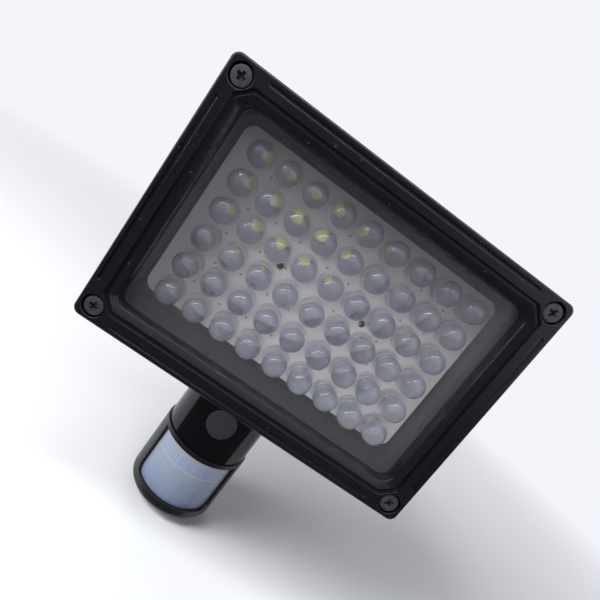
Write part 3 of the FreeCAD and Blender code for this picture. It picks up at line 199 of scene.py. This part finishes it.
def applied(piece):
    """The piece with its modifiers made part of its mesh."""
    bpy.context.view_layer.update()
    seen = piece.evaluated_get(bpy.context.evaluated_depsgraph_get())
    mesh = bpy.data.meshes.new_from_object(seen)
    piece.modifiers.clear()
    piece.data = mesh
    return piece


def carried(piece, node):
    """The piece moves with a node's body."""
    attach(piece, body_of[node])
    return piece


def seat(piece, *nodes):
    """The piece stands for these nodes and moves with their body."""
    for node in nodes:
        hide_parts(node)
    return carried(piece, nodes[0])


WELD = 0.002 * MM
FLAT = math.radians(0.5)
SHARP = math.radians(35)


def rounded(node, name, edge, material, wide=None, chosen=None):
    """A copy of a node whose sharp edges have the small round that a mould or a coat gives them. Edges whose
    centre is chosen have the wide round."""
    mesh = frame["nodes"][node].data.copy()
    if "custom_normal" in mesh.attributes:
        mesh.attributes.remove(mesh.attributes["custom_normal"])
    shape = bmesh.new()
    shape.from_mesh(mesh)
    bmesh.ops.remove_doubles(shape, verts=shape.verts, dist=WELD)
    bmesh.ops.dissolve_limit(shape, angle_limit=FLAT, verts=shape.verts, edges=shape.edges)
    weights = shape.edges.layers.float.new("bevel_weight_edge")
    for side in shape.edges:
        if side.calc_face_angle(0.0) > SHARP:
            centre = (side.verts[0].co + side.verts[1].co) / 2
            side[weights] = 1.0 if wide and chosen(centre) else edge / (wide or edge)
    shape.to_mesh(mesh)
    shape.free()
    mesh.shade_smooth()
    piece = added(name, mesh, material)
    bevel = piece.modifiers.new("edges", "BEVEL")
    bevel.width = wide or edge
    bevel.segments = 3 if wide else 2
    bevel.limit_method = "WEIGHT"
    bevel.use_clamp_overlap = False
    bevel.harden_normals = True
    return seat(applied(piece), node)


strap_coat = Finish("strap_powder_coat", (0.02, 0.02, 0.023), 0.42)
strap_coat.set({"Roughness": 0.36 + strap_coat.noise(20 * MM) * 0.14})
strap_coat.bump(strap_coat.noise(0.5 * MM, detail=1.0), 0.012 * MM)
rounded("wall_bracket", "bracket_strap", 0.35 * MM, strap_coat.material)


# Rear housing: one deep tub in black plastic with drafted sides, ribs above and below, four screw columns
# and a boss for each clamp and for the sensor. Its tool gave it an even matt grain.

housing_plastic = moulded("housing_plastic", (0.017, 0.017, 0.019), 0.45, grain=0.35 * MM, depth=0.012 * MM)
rounded("rear_housing", "housing_tub", 0.2 * MM, housing_plastic)


# Inside the housing: brass inserts for the clamps, the control board with its parts and screws, and the
# battery of three cells in its cradle. All of it is shut in, and shows only when the lamp is open.

def coated(material, *nodes):
    """Gives nodes that stay as they are their real finish."""
    for node in nodes:
        for holder in frame["nodes"][node].material_slots:
            holder.material = material


brass = Finish("insert_brass", (0.62, 0.43, 0.18), 0.3, Metallic=1.0)
brass.bump(brass.noise(0.4 * MM), 0.004 * MM)
coated(brass.material, "clamp_inserts", "socket_nut")

board_mask = Finish("control_board_mask", (0.03, 0.16, 0.07), 0.35)
mottling = board_mask.noise(6 * MM)
board_mask.set({"Base Color": board_mask.blend(mottling, (0.02, 0.13, 0.05), (0.05, 0.2, 0.09))})
coated(board_mask.material, "control_board", "sensor_board")

parts_plastic = moulded("parts_plastic", (0.03, 0.03, 0.034), 0.4)
coated(parts_plastic, "control_parts", "photocell", "trimmers", "switch_block", "charge_socket")

cell_sleeve = Finish("cell_sleeve", (0.07, 0.16, 0.34), 0.3)
cell_sleeve.bump(cell_sleeve.noise(3 * MM), 0.02 * MM)
coated(cell_sleeve.material, "battery_cells")
coated(housing_plastic, "battery_cradle")

steel = Finish("bright_steel", (0.56, 0.56, 0.57), 0.28, Metallic=1.0)
steel.set({"Roughness": 0.22 + steel.noise(1.2 * MM, detail=4.0) * 0.2})
steel.bump(steel.noise(0.3 * MM), 0.003 * MM)
coated(steel.material, "battery_contacts", "control_screws", "turret_clip", "tilt_nut", "pyro_detector",
       "sensor_screws", "left_stud", "right_stud", "left_washer", "right_washer")

rubber = moulded("seal_rubber", (0.016, 0.016, 0.017), 0.7, grain=0.15 * MM)
coated(rubber, "housing_gasket", "door_seal", "window_seal", "friction_washers")


# Light tray: the dark satin well that the LEDs stand in, moulded in one with its locating posts. Little light
# comes back from its walls.

tray_plastic = moulded("tray_plastic", (0.008, 0.0095, 0.015), 0.3, grain=6 * MM, depth=0.0,
                       **{"Specular IOR Level": 0.15})
rounded("light_tray", "led_tray", 0.15 * MM, tray_plastic)


# LED board: a white-masked circuit board, dulled by flux and heat, with plated holes between the LEDs, the dark
# inside of each hole painted as shade.

board_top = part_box("led_board")[0].y
mask_white = Finish("led_board_mask", (0.5, 0.5, 0.48), 0.45)
stains = mask_white.noise(9 * MM, detail=4.0)
worn = mask_white.blend(stains, (0.46, 0.44, 0.42), (0.57, 0.57, 0.56))
mask_white.set({"Base Color": worn, "Roughness": 0.4 + stains * 0.2})
mask_white.bump(mask_white.noise(2 * MM), 0.01 * MM)
coated(mask_white.material, "led_board")


def turned(profile, steps=48, closed=False):
    """A mesh of revolution about Z, from radius and height pairs. It is shut by ends on the axis, or by
    closed, which joins its ends."""
    shape = bmesh.new()
    rings = []
    for radius, height in profile:
        count = steps if radius > 1e-9 else 1
        angles = [2 * math.pi * i / steps for i in range(count)]
        rings.append([shape.verts.new((radius * math.cos(a), radius * math.sin(a), height)) for a in angles])
    pairs = list(zip(rings, rings[1:])) + ([(rings[-1], rings[0])] if closed else [])
    for low, high in pairs:
        for i in range(steps):
            j = i + 1
            corners = [low[i % len(low)], low[j % len(low)], high[j % len(high)], high[i % len(high)]]
            shape.faces.new(list(dict.fromkeys(corners)))
    bmesh.ops.recalc_face_normals(shape, faces=shape.faces)
    mesh = bpy.data.meshes.new("turned")
    shape.to_mesh(mesh)
    shape.free()
    mesh.shade_smooth()
    mesh.set_sharp_from_angle(angle=math.radians(40))
    return mesh


def block(low, high):
    """A box between two corners."""
    shape = bmesh.new()
    bmesh.ops.create_cube(shape, size=1.0)
    low, high = Vector(low), Vector(high)
    size = high - low
    shape.transform(Matrix.Translation((low + high) / 2) @ Matrix.Diagonal((*size, 1)))
    mesh = bpy.data.meshes.new("block")
    shape.to_mesh(mesh)
    shape.free()
    return mesh


def joined(*meshes):
    """Several meshes as one."""
    shape = bmesh.new()
    for mesh in meshes:
        shape.from_mesh(mesh)
    merged = bpy.data.meshes.new("joined")
    shape.to_mesh(merged)
    shape.free()
    return merged


class Grid(Tree):
    """A geometry tree that repeats one object over a grid, each copy turned and leaned by a seed."""

    SIZES = {"Across": 0.0, "Up": 0.0, "Columns": 2, "Rows": 2, "Lean": 0.0, "Spin": 0.0, "Scatter": 0.0,
             "Kept": 1.0, "Seed": 0, "Turn": 0.0, "Depth": 0.0, "Offset Up": 0.0}

    def __init__(self):
        self.group = bpy.data.node_groups.new("grid_of_copies", "GeometryNodeTree")
        super().__init__(self.group.nodes, self.group.links)
        face = self.group.interface
        face.new_socket("Geometry", in_out="OUTPUT", socket_type="NodeSocketGeometry")
        face.new_socket("Geometry", in_out="INPUT", socket_type="NodeSocketGeometry")
        kinds = {"Copy": "NodeSocketObject", "Material": "NodeSocketMaterial"}
        for name, value in self.SIZES.items():
            kinds[name] = "NodeSocketInt" if isinstance(value, int) else "NodeSocketFloat"
        self.keys = {}
        for name, kind in kinds.items():
            self.keys[name] = face.new_socket(name, in_out="INPUT", socket_type=kind).identifier
        entry = self.nodes.new("NodeGroupInput")
        size = {name: Wire(self, entry.outputs[name]) for name in kinds}
        points = self.node("GeometryNodeMeshGrid",
                           {0: size["Across"], 1: size["Up"], 2: size["Columns"], 3: size["Rows"]})
        shift = self.node("ShaderNodeCombineXYZ", {0: size["Scatter"], 1: size["Scatter"], 2: 0.0})
        back = self.node("ShaderNodeVectorMath", {0: shift, 3: -1.0}, operation="SCALE")
        wander = self.node("FunctionNodeRandomValue", {0: back, 1: shift, "Seed": size["Seed"]},
                           data_type="FLOAT_VECTOR")
        points = self.node("GeometryNodeSetPosition", {"Geometry": points, "Offset": wander})
        dropped = self.node("FunctionNodeRandomValue",
                            {"Probability": 1.0 - size["Kept"], "Seed": size["Seed"] + 7},
                            output=3, data_type="BOOLEAN")
        points = self.node("GeometryNodeDeleteGeometry", {0: points, 1: dropped}, domain="POINT")
        most = self.node("ShaderNodeCombineXYZ", {0: size["Lean"], 1: size["Lean"], 2: size["Spin"]})
        least = self.node("ShaderNodeVectorMath", {0: most, 3: -1.0}, operation="SCALE")
        turn = self.node("FunctionNodeRandomValue", {0: least, 1: most, "Seed": size["Seed"] + 3},
                         data_type="FLOAT_VECTOR")
        copy = self.node("GeometryNodeObjectInfo", {"Object": size["Copy"]}, output="Geometry")
        copies = self.node("GeometryNodeInstanceOnPoints",
                           {"Points": points, "Instance": copy, "Rotation": turn})
        tilt = self.node("ShaderNodeCombineXYZ", {0: size["Turn"], 1: 0.0, 2: 0.0})
        place = self.node("ShaderNodeCombineXYZ", {0: 0.0, 1: size["Depth"], 2: size["Offset Up"]})
        moved = self.node("GeometryNodeTransform",
                          {"Geometry": copies, "Translation": place, "Rotation": tilt})
        real = self.node("GeometryNodeRealizeInstances", {0: moved})
        dressed = self.node("GeometryNodeSetMaterial", {"Geometry": real, "Material": size["Material"]})
        leave = self.nodes.new("NodeGroupOutput")
        self.feed(leave.inputs[0], dressed)

    def make(self, name, mesh, material, **sizes):
        """One plain mesh of all the copies."""
        pattern = bpy.data.objects.new(f"{name}_pattern", mesh)
        piece = added(name, bpy.data.meshes.new(name))
        modifier = piece.modifiers.new("copies", "NODES")
        modifier.node_group = self.group
        values = {**self.SIZES, **{key.replace("_", " ").title(): value for key, value in sizes.items()}}
        for key, value in {**values, "Copy": pattern, "Material": material}.items():
            modifier[self.keys[key]] = value
        applied(piece)
        bpy.data.objects.remove(pattern)
        return piece


grid = Grid()
FACING_OUT = math.pi / 2
FACING_BACK = -math.pi / 2
led_pitch = 12 * MM
led_columns, led_rows = 9, 6
led_across = (led_columns - 1) * led_pitch
led_up = (led_rows - 1) * led_pitch
via_layout = {"columns": led_columns - 1, "rows": led_rows - 1, "across": led_across - led_pitch,
              "up": led_up - led_pitch, "scatter": 1.6 * MM, "kept": 0.8, "seed": 5, "turn": FACING_OUT,
              "depth": board_top}
pad_height, shadow_height = 0.04 * MM, 0.02 * MM
pad_ring = turned([(0.28 * MM, 0), (0.62 * MM, 0), (0.6 * MM, pad_height), (0.3 * MM, pad_height)],
                  steps=16, closed=True)
plated = Finish("plated_pads", (0.44, 0.44, 0.41), 0.4, Metallic=0.6)
plated.bump(plated.noise(0.2 * MM), 0.01 * MM)
carried(grid.make("board_pads", pad_ring, plated.material, **via_layout), "led_board")
# Each hole is a flat dark disc of painted shade, standing for the shade inside the hole.
hole_shade_disc = turned([(0, 0), (0.3 * MM, 0), (0.3 * MM, shadow_height), (0, shadow_height)],
                  steps=12)
painted_hole_shade = Finish("board_hole_shadow", (0.012, 0.011, 0.01), 0.8)
painted_hole_shade.set({"Roughness": 0.7 + painted_hole_shade.noise(0.2 * MM) * 0.2})
carried(grid.make("board_holes", hole_shade_disc, painted_hole_shade.material, **via_layout), "led_board")


# LEDs: 54 clear through-hole lamps of 10 mm. Each is cast in epoxy round two steel legs, which end in a round
# stepped plate with the chip under a drop of yellow phosphor. The mould left rings round the epoxy. They were
# pushed in by hand, so no two stand quite alike.

led_radius = 5.0 * MM
flange_radius = 5.5 * MM
ring_heights = (2.6 * MM, 4.4 * MM, 6.2 * MM)
ring_half_high, ring_dip = 0.3 * MM, 0.28 * MM
dome_steps = 16
led_height = board_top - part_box("led_row_1")[0].y
dome_base = led_height - led_radius
flange = [(0, 0.05 * MM), (flange_radius - 0.2 * MM, 0.05 * MM), (flange_radius, 0.3 * MM),
          (flange_radius, 1.0 * MM), (flange_radius - 0.2 * MM, 1.25 * MM), (led_radius, 1.4 * MM)]
rings = [(led_radius - dip, height + shift) for height in ring_heights
         for dip, shift in ((0, -ring_half_high), (ring_dip, 0), (0, ring_half_high))]
dome = [(led_radius * math.cos(a), dome_base + led_radius * math.sin(a))
        for a in [math.pi / 2 * i / dome_steps for i in range(1, dome_steps)]]
led_body = turned([*flange, *rings, (led_radius, dome_base), *dome, (0, led_height)], steps=40)
led_layout = {"columns": led_columns, "rows": led_rows, "across": led_across, "up": led_up,
              "lean": math.radians(1.3), "seed": 11, "turn": FACING_OUT, "depth": board_top}


def clear(name, colour, roughness, ior, share, shade=0.95):
    """Glass or epoxy, of which a share is clear. It lets the lamps' light through to what it covers."""
    finish = Finish(name, colour, roughness, **{"Transmission Weight": share, "IOR": ior})
    lamp_ray = finish.node("ShaderNodeLightPath", output="Is Shadow Ray")
    open_way = finish.node("ShaderNodeBsdfTransparent", {"Color": (shade, shade, shade, 1)})
    finish.cover(lamp_ray, open_way)
    return finish


epoxy = clear("led_epoxy", (0.88, 0.88, 0.94), 0.05, 1.5, share=0.95, shade=0.93)
epoxy.set({"Coat Weight": 1.0, "Coat Roughness": 0.01})
epoxy.bump(epoxy.noise(2.5 * MM, detail=1.0), 0.004 * MM)
leds = grid.make("led_bodies", led_body, epoxy.material, **led_layout)
seat(leds, *[f"led_row_{n}" for n in range(1, led_rows + 1)])

die_height = 2.5 * MM
plate = turned([(0, die_height - 0.5 * MM), (3.1 * MM, die_height - 0.4 * MM), (3.2 * MM, die_height),
                (2.7 * MM, die_height - 0.3 * MM), (2.1 * MM, die_height - 0.3 * MM), (1.9 * MM, die_height),
                (1.2 * MM, die_height), (0.8 * MM, die_height - 0.1 * MM), (0, die_height - 0.1 * MM)],
               steps=32)
leg_steel = Finish("leg_steel", (0.14, 0.14, 0.18), 0.4)
leg_steel.bump(leg_steel.noise(0.8 * MM), 0.02 * MM)
leg_x, leg_half_wide, leg_half_deep = 1.27 * MM, 0.3 * MM, 0.5 * MM
legs = [block((side * leg_x - leg_half_wide, -leg_half_deep, 0.1 * MM),
              (side * leg_x + leg_half_wide, leg_half_deep, die_height - 0.4 * MM)) for side in (-1, 1)]
carried(grid.make("led_legs", joined(plate, *legs), leg_steel.material, **led_layout), "led_row_1")

phosphor = Finish("led_phosphor", (0.5, 0.56, 0.05), 0.6)
phosphor.set({"Base Color": phosphor.blend(phosphor.noise(0.4 * MM), (0.3, 0.37, 0.06), (0.42, 0.45, 0.1))})
drop = turned([(0, die_height - 0.1 * MM), (0.56 * MM, die_height + 0.02 * MM),
               (0.4 * MM, die_height + 0.1 * MM), (0, die_height + 0.13 * MM)], steps=24)
drop_off_centre = (-0.1 * MM, 0.25 * MM, 0)
drop.transform(Matrix.Translation(drop_off_centre))
carried(grid.make("led_phosphor_drops", drop, phosphor.material, **led_layout), "led_row_1")


# Window: a sheet of clear glass on a rubber ring, held between the tray and the bezel's lip.

pane_glass = clear("pane_glass", (0.95, 0.965, 0.98), 0.0, 1.48, share=0.98)
coated(pane_glass.material, "window_pane")


# Front bezel: moulded in glossy black plastic, with a step and a slope down to the window, a thin groove on
# each side and a recess at each corner where the screws sit.

bezel_plastic = moulded("bezel_plastic", (0.0042, 0.0036, 0.006), 0.23, grain=0.3 * MM, depth=0.003 * MM,
                        dust=0.6, edges=0.5 * MM)
rounded("front_bezel", "window_bezel", 0.22 * MM, bezel_plastic)


# Screws: black-coated steel with cross recesses. Four long ones hold the bezel and four small ones the
# battery door, each stopped wherever its thread came tight.

def cross_screw(head_radius, head_height, shank_radius, length):
    """A screw that points down, the top of its head at height 0."""
    rim = 0.12 * head_radius
    body = added("screw", turned([(0, 0), (head_radius - 2 * rim, 0), (head_radius - 0.6 * rim, -0.35 * rim),
                                  (head_radius, -1.2 * rim), (head_radius, -head_height),
                                  (shank_radius, -head_height), (shank_radius, -head_height - length),
                                  (0, -head_height - length)], steps=40))
    tools = []
    for quarter in range(2):
        arm = block((-0.56 * head_radius, -0.17 * head_radius, -0.55 * head_radius),
                    (0.56 * head_radius, 0.17 * head_radius, 0.2 * head_radius))
        for point in arm.vertices:
            if point.co.z < 0:
                point.co.x *= 0.5
                point.co.y *= 0.7
        arm.transform(Matrix.Rotation(quarter * math.pi / 2, 4, "Z"))
        tools.append(added("recess", arm))
    tools.append(added("recess", turned([(0, -0.5 * head_radius), (0.26 * head_radius, 0.1 * head_radius),
                                         (0, 0.1 * head_radius)], steps=16)))
    for tool in tools:
        cut = body.modifiers.new("recess", "BOOLEAN")
        cut.operation = "DIFFERENCE"
        cut.solver = "EXACT"
        cut.object = tool
    mesh = applied(body).data
    mesh.shade_smooth()
    mesh.set_sharp_from_angle(angle=SHARP)
    for spare in (body, *tools):
        bpy.data.objects.remove(spare)
    return mesh


black_oxide = Finish("black_oxide_steel", (0.03, 0.03, 0.034), 0.38, Metallic=0.35)
rubbed = black_oxide.noise(1.5 * MM, detail=5.0)
black_oxide.set({"Roughness": 0.3 + rubbed * 0.25,
                 "Base Color": black_oxide.blend(rubbed, (0.018, 0.018, 0.02), (0.07, 0.07, 0.075))})
black_oxide.bump(black_oxide.noise(0.35 * MM, detail=3.0), 0.008 * MM)


def screw_set(name, node, head_radius, head_height, shank_radius, facing, seed):
    """The four screws of a node, each where its own solid is."""
    low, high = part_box(node)
    length = high.y - low.y - head_height
    head = low.y if facing > 0 else high.y
    across, up = (high.x - low.x - 2 * head_radius, high.z - low.z - 2 * head_radius)
    screw = cross_screw(head_radius, head_height, shank_radius, length)
    piece = grid.make(name, screw, black_oxide.material, across=across, up=up, spin=math.pi, seed=seed,
                      turn=facing, depth=head, offset_up=(low.z + high.z) / 2)
    return seat(piece, node)


screw_set("bezel_cross_screws", "bezel_screws", head_radius=3.6 * MM, head_height=2.3 * MM,
          shank_radius=1.9 * MM, facing=FACING_OUT, seed=4)


# Battery door: a ribbed lid on the back with its own four screws, beside the charging socket under its
# rubber cap and the push button in its collar.

rounded("battery_door", "battery_lid", 0.3 * MM, housing_plastic)
screw_set("door_cross_screws", "door_screws", head_radius=2.3 * MM, head_height=1.5 * MM,
          shank_radius=1.25 * MM, facing=FACING_BACK, seed=8)
rounded("socket_cap", "charge_cap", 0.1 * MM, rubber)
rounded("switch_collar", "button_collar", 0.3 * MM, parts_plastic)
rounded("mode_button", "push_button", 0.1 * MM, moulded("button_rubber", (0.03, 0.03, 0.032), 0.6))


# Clamp knobs: five-lobed grips moulded on the studs that pinch the head between the bracket's arms.

knob_plastic = moulded("knob_plastic", (0.009, 0.009, 0.0105), 0.5, grain=0.4 * MM, depth=0.015 * MM)
rounded("left_knob", "left_grip", 0.9 * MM, knob_plastic)
rounded("right_knob", "right_grip", 0.9 * MM, knob_plastic)


# Sensor turret: a flanged spigot that pans in the housing's boss, its two ears closed on the sensor's lug by
# a cross screw and a nut.

satin_black = moulded("sensor_satin_plastic", (0.006, 0.006, 0.0055), 0.4, grain=0.3 * MM, depth=0.006 * MM)
rounded("sensor_turret", "turret_body", 0.2 * MM, satin_black)
coated(black_oxide.material, "tilt_screw")


# Sensor: a polished upper shell with a smoked round window for the photocell, and a satin cup below whose
# brow shades the lens. Two screws from underneath hold the shells together.

gloss_black = moulded("sensor_gloss_plastic", (0.002, 0.0017, 0.003), 0.12, grain=2.5 * MM, depth=0.004 * MM,
                      **{"Specular IOR Level": 0.35})
rounded("sensor_upper_shell", "sensor_cap", 0.15 * MM, gloss_black)
sensor_y = -68 * MM
cup_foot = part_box("sensor_lower_shell")[0].z
foot_high, foot_inner_radius = 2.6 * MM, 16.5 * MM


def on_foot(point):
    """Whether a point is on the outer edge of the cup's foot."""
    return point.z < cup_foot + foot_high and math.hypot(point.x, point.y - sensor_y) > foot_inner_radius


rounded("sensor_lower_shell", "sensor_cup", 0.3 * MM, satin_black, wide=1.1 * MM, chosen=on_foot)
smoked = moulded("smoked_window", (0.03, 0.03, 0.04), 0.45)
rounded("daylight_window", "photocell_window", 0.12 * MM, smoked)


# Setting knobs: three slotted discs under the sensor, for range, daylight level and time.

for knob in ("range_knob", "lux_knob", "time_knob"):
    rounded(knob, f"{knob}_grip", 0.15 * MM, knob_plastic)


# Lens: a bent sheet of milky polythene, pressed with a row of small lenses above and long ones below, which
# throw the heat of what passes on to the detector.

lens_low, lens_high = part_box("fresnel_lens")
lens_outer = sensor_y - lens_low.y
lens_inner = lens_outer - 0.9 * MM
lens_half_angle = math.asin(lens_high.x / lens_outer)
lens_steps_round, lens_steps_up = 168, 56
long_cells, short_cells = 13, 11
row_foot, row_top = 0.68, 0.9
crease_wide, line_half_wide = 0.08, 0.02
patch_margin, patch_gap, patch_from, patch_to = 0.02, 0.28, 0.33, 0.78
relief_deep = 0.09 * MM


def crease(place, cells):
    """1 on the line between two cells, falling to 0 beside it."""
    away = abs(place * cells - round(place * cells)) / crease_wide
    return max(0.0, 1.0 - away)


def lens_skin(radius, relief):
    """One skin of the lens, as rows of points from its foot up. Its lines are sunk by the relief."""
    rows = []
    for step in range(lens_steps_up + 1):
        height = step / lens_steps_up
        row = []
        for turn in range(lens_steps_round + 1):
            side = turn / lens_steps_round
            cells = long_cells if height < row_foot else short_cells
            sunk = crease(side, cells) if height < row_top else 0.0
            for line in (row_foot, row_top):
                sunk = max(sunk, 1 - abs(height - line) / line_half_wide)
            angle = (2 * side - 1) * lens_half_angle
            out = radius - relief * sunk
            row.append((out * math.sin(angle), sensor_y - out * math.cos(angle),
                        lens_low.z + height * (lens_high.z - lens_low.z)))
        rows.append(row)
    return rows


shape = bmesh.new()
front = [[shape.verts.new(point) for point in row] for row in lens_skin(lens_outer, relief_deep)]
rear = [[shape.verts.new(point) for point in row] for row in lens_skin(lens_inner, 0.0)]
for up in range(lens_steps_up):
    for side in range(lens_steps_round):
        shape.faces.new((front[up][side], front[up][side + 1], front[up + 1][side + 1], front[up + 1][side]))
        shape.faces.new((rear[up][side], rear[up + 1][side], rear[up + 1][side + 1], rear[up][side + 1]))
    for side in (0, lens_steps_round):
        shape.faces.new((front[up][side], front[up + 1][side], rear[up + 1][side], rear[up][side]))
for side in range(lens_steps_round):
    for up in (0, lens_steps_up):
        shape.faces.new((front[up][side], front[up][side + 1], rear[up][side + 1], rear[up][side]))
bmesh.ops.recalc_face_normals(shape, faces=shape.faces)
lens_mesh = bpy.data.meshes.new("lens")
shape.to_mesh(lens_mesh)
shape.free()
lens_mesh.shade_smooth()
lens_mesh.set_sharp_from_angle(angle=math.radians(50))

polythene = Finish("lens_polythene", (0.5, 0.55, 0.66), 0.32)
split = polythene.node("ShaderNodeSeparateXYZ", {0: polythene.place})
sideways = Wire(polythene, split.socket.node.outputs[0])
depth = Wire(polythene, split.socket.node.outputs[1])
upward = Wire(polythene, split.socket.node.outputs[2])
angle = sideways.maths("ARCTAN2", sideways, sensor_y - depth)
side = angle * (0.5 / lens_half_angle) + 0.5
height = (upward - lens_low.z) * (1 / (lens_high.z - lens_low.z))
in_row = (height > row_foot + patch_margin) * (height < row_top - patch_margin)
in_cell = side.maths("PINGPONG", side * short_cells, 0.5) * 2 > patch_gap
patches = in_row * in_cell * (side > patch_from) * (side < patch_to)
drawn_out = polythene.node("ShaderNodeVectorMath", {0: polythene.place, 1: (1.0, 1.0, 0.1)},
                           operation="MULTIPLY")
streaks = polythene.noise(3 * MM, vector=drawn_out)
milk = polythene.blend(streaks, (0.095, 0.13, 0.235), (0.18, 0.22, 0.3))
milk = polythene.blend(height * 0.5, milk, (0.42, 0.44, 0.46))
milk = polythene.blend(patches * 0.6, milk, (0.19, 0.24, 0.4))
on_line = (height > row_foot - line_half_wide / 2) * (height < row_foot + line_half_wide / 2)
milk = polythene.blend(on_line * 0.35, milk, (0.45, 0.47, 0.5))
polythene.set({"Base Color": milk, "Roughness": 0.28 + streaks * 0.15})
seat(added("sensor_lens", lens_mesh, polythene.material), "fresnel_lens")


# Studio: a pale floor under the lamp and soft light from above, from the left and faintly from the front and
# from behind. Seen directly, the world is a pale backdrop. In a mirror it is a bright room, dim in front of
# the lamp, and as light on the lamp it is weak, so black plastic stays black.

BACKDROP = (0.9, 0.91, 0.95, 1)
ROOM_FRONT = (-0.05, -0.97, -0.24)
ROOM_GLOW = 0.1


class World(Tree):
    """The light that comes from all round."""

    def __init__(self):
        world = bpy.data.worlds.new("studio")
        world.use_nodes = True
        bpy.context.scene.world = world
        super().__init__(world.node_tree.nodes, world.node_tree.links)
        path = self.nodes.new("ShaderNodeLightPath")
        seen = Wire(self, path.outputs["Is Camera Ray"])
        mirrored = Wire(self, path.outputs["Is Glossy Ray"]) + Wire(self, path.outputs["Is Transmission Ray"])
        direction = self.node("ShaderNodeTexCoord", output="Generated")
        ahead = self.node("ShaderNodeVectorMath", {0: direction, 1: ROOM_FRONT}, output=1,
                          operation="DOT_PRODUCT")
        room = self.node("ShaderNodeValToRGB", {0: ahead}, stops=[
            (0.74, (1, 1, 1, 1)), (0.95, (0.08, 0.08, 0.08, 1)), (0.8, (0.38, 0.38, 0.38, 1))])
        strength = mirrored.maths("MAXIMUM", seen, mirrored * room + (1.0 - mirrored) * ROOM_GLOW)
        back = self.nodes["Background"]
        tint = self.node("ShaderNodeMix", {0: seen, 6: (0.86, 0.84, 1, 1), 7: BACKDROP}, output=2,
                         data_type="RGBA")
        self.feed(back.inputs["Color"], tint)
        self.feed(back.inputs["Strength"], strength.maths("MINIMUM", strength, 1.0))


World()
view_right = Vector((0.81072, 0.01300, 0.58529))
view_up = Vector((-0.57598, 0.19658, 0.79347))
view_back = Vector((-0.10474, -0.98040, 0.16686))
photo_pixels, focal_pixels, shift_pixels = 600, 445, 1
camera_data = bpy.data.cameras.new("camera")
camera_data.sensor_width = 36
camera_data.lens = focal_pixels / photo_pixels * camera_data.sensor_width
camera_data.shift_y = -shift_pixels / photo_pixels
camera_data.clip_start = 0.01
camera = bpy.data.objects.new("camera", camera_data)
camera.matrix_world = Matrix((view_right, view_up, view_back)).transposed().to_4x4()
camera.location = (-0.024061, -0.265806, 0.023738)
bpy.context.scene.collection.objects.link(camera)
bpy.context.scene.camera = camera

middle = Vector((0, -0.1, -0.02))


def lamp(name, direction, distance, size, power, mirrored=True, colour=(1, 1, 1)):
    """A soft rectangular lamp that faces the middle of the object."""
    data = bpy.data.lights.new(name, "AREA")
    data.shape = "RECTANGLE"
    data.size, data.size_y = size
    data.energy = power
    data.color = colour
    light = bpy.data.objects.new(name, data)
    direction = Vector(direction).normalized()
    across = view_right.cross(direction).cross(direction).normalized() * -1
    over = direction.cross(across)
    light.matrix_world = Matrix((across, over, direction)).transposed().to_4x4()
    light.location = middle + direction * distance
    light.visible_camera = False
    light.visible_glossy = light.visible_transmission = mirrored
    bpy.context.scene.collection.objects.link(light)


lamp("strip_above", 0.588 * view_back + 0.809 * view_up, 0.6, (1.8, 0.05), 4.6)
lamp("softbox_left", (-0.92, -0.38, 0.0), 0.6, (0.5, 0.5), 1.6, mirrored=False, colour=(0.78, 0.88, 1.0))
lamp("softbox_above", (-0.68, -0.38, 0.55), 0.9, (0.6, 0.4), 8.2, mirrored=False)
lamp("softbox_front", view_back - 0.1 * view_up + 0.3 * view_right, 0.8, (0.5, 0.5), 1.5, mirrored=False)
lamp("softbox_behind", (-0.3, 0.85, 0.4), 1.0, (0.7, 0.7), 1.6, mirrored=False)

# The floor stands just below the lamp. Seen from the camera it fades into the backdrop with distance, and in
# a mirror it is dim in front of the lamp.

floor_gap, floor_thick = 0.4 * MM, 0.01
floor_top = cad_bounds[0][2] - floor_gap
floor_mesh = block((-3, -1.5, floor_top - floor_thick), (3, 3, floor_top))
floor_paint = Finish("floor_paint", (0.86, 0.87, 0.89), 0.6)
floor_paint.set({"Roughness": 0.55 + floor_paint.noise(0.05) * 0.1})
under_lamp = (0.0, -0.08, floor_top)
spread = floor_paint.node("ShaderNodeVectorMath", {0: floor_paint.place, 1: under_lamp}, output=1,
                          operation="DISTANCE")
fade_near, fade_far = 0.22, 0.8
faded = floor_paint.node("ShaderNodeMapRange", {0: spread, 1: fade_near, 2: fade_far, 3: 0.0, 4: 1.0})
path_seen = floor_paint.node("ShaderNodeLightPath", output="Is Camera Ray")
glow = floor_paint.node("ShaderNodeEmission", {"Color": BACKDROP, "Strength": 1.0})
floor_paint.cover(faded * path_seen, glow)
dim_from_y, dim_glow = -0.09, 0.12
floor_y = floor_paint.node("ShaderNodeSeparateXYZ", {0: floor_paint.place}, output=1)
path_mirrored = floor_paint.node("ShaderNodeLightPath", output="Is Glossy Ray")
dim = floor_paint.node("ShaderNodeEmission", {"Color": BACKDROP, "Strength": dim_glow})
floor_paint.cover(path_mirrored * (floor_y < dim_from_y), dim)
added("floor", floor_mesh, floor_paint.material)

bpy.context.scene.view_settings.view_transform = "Standard"
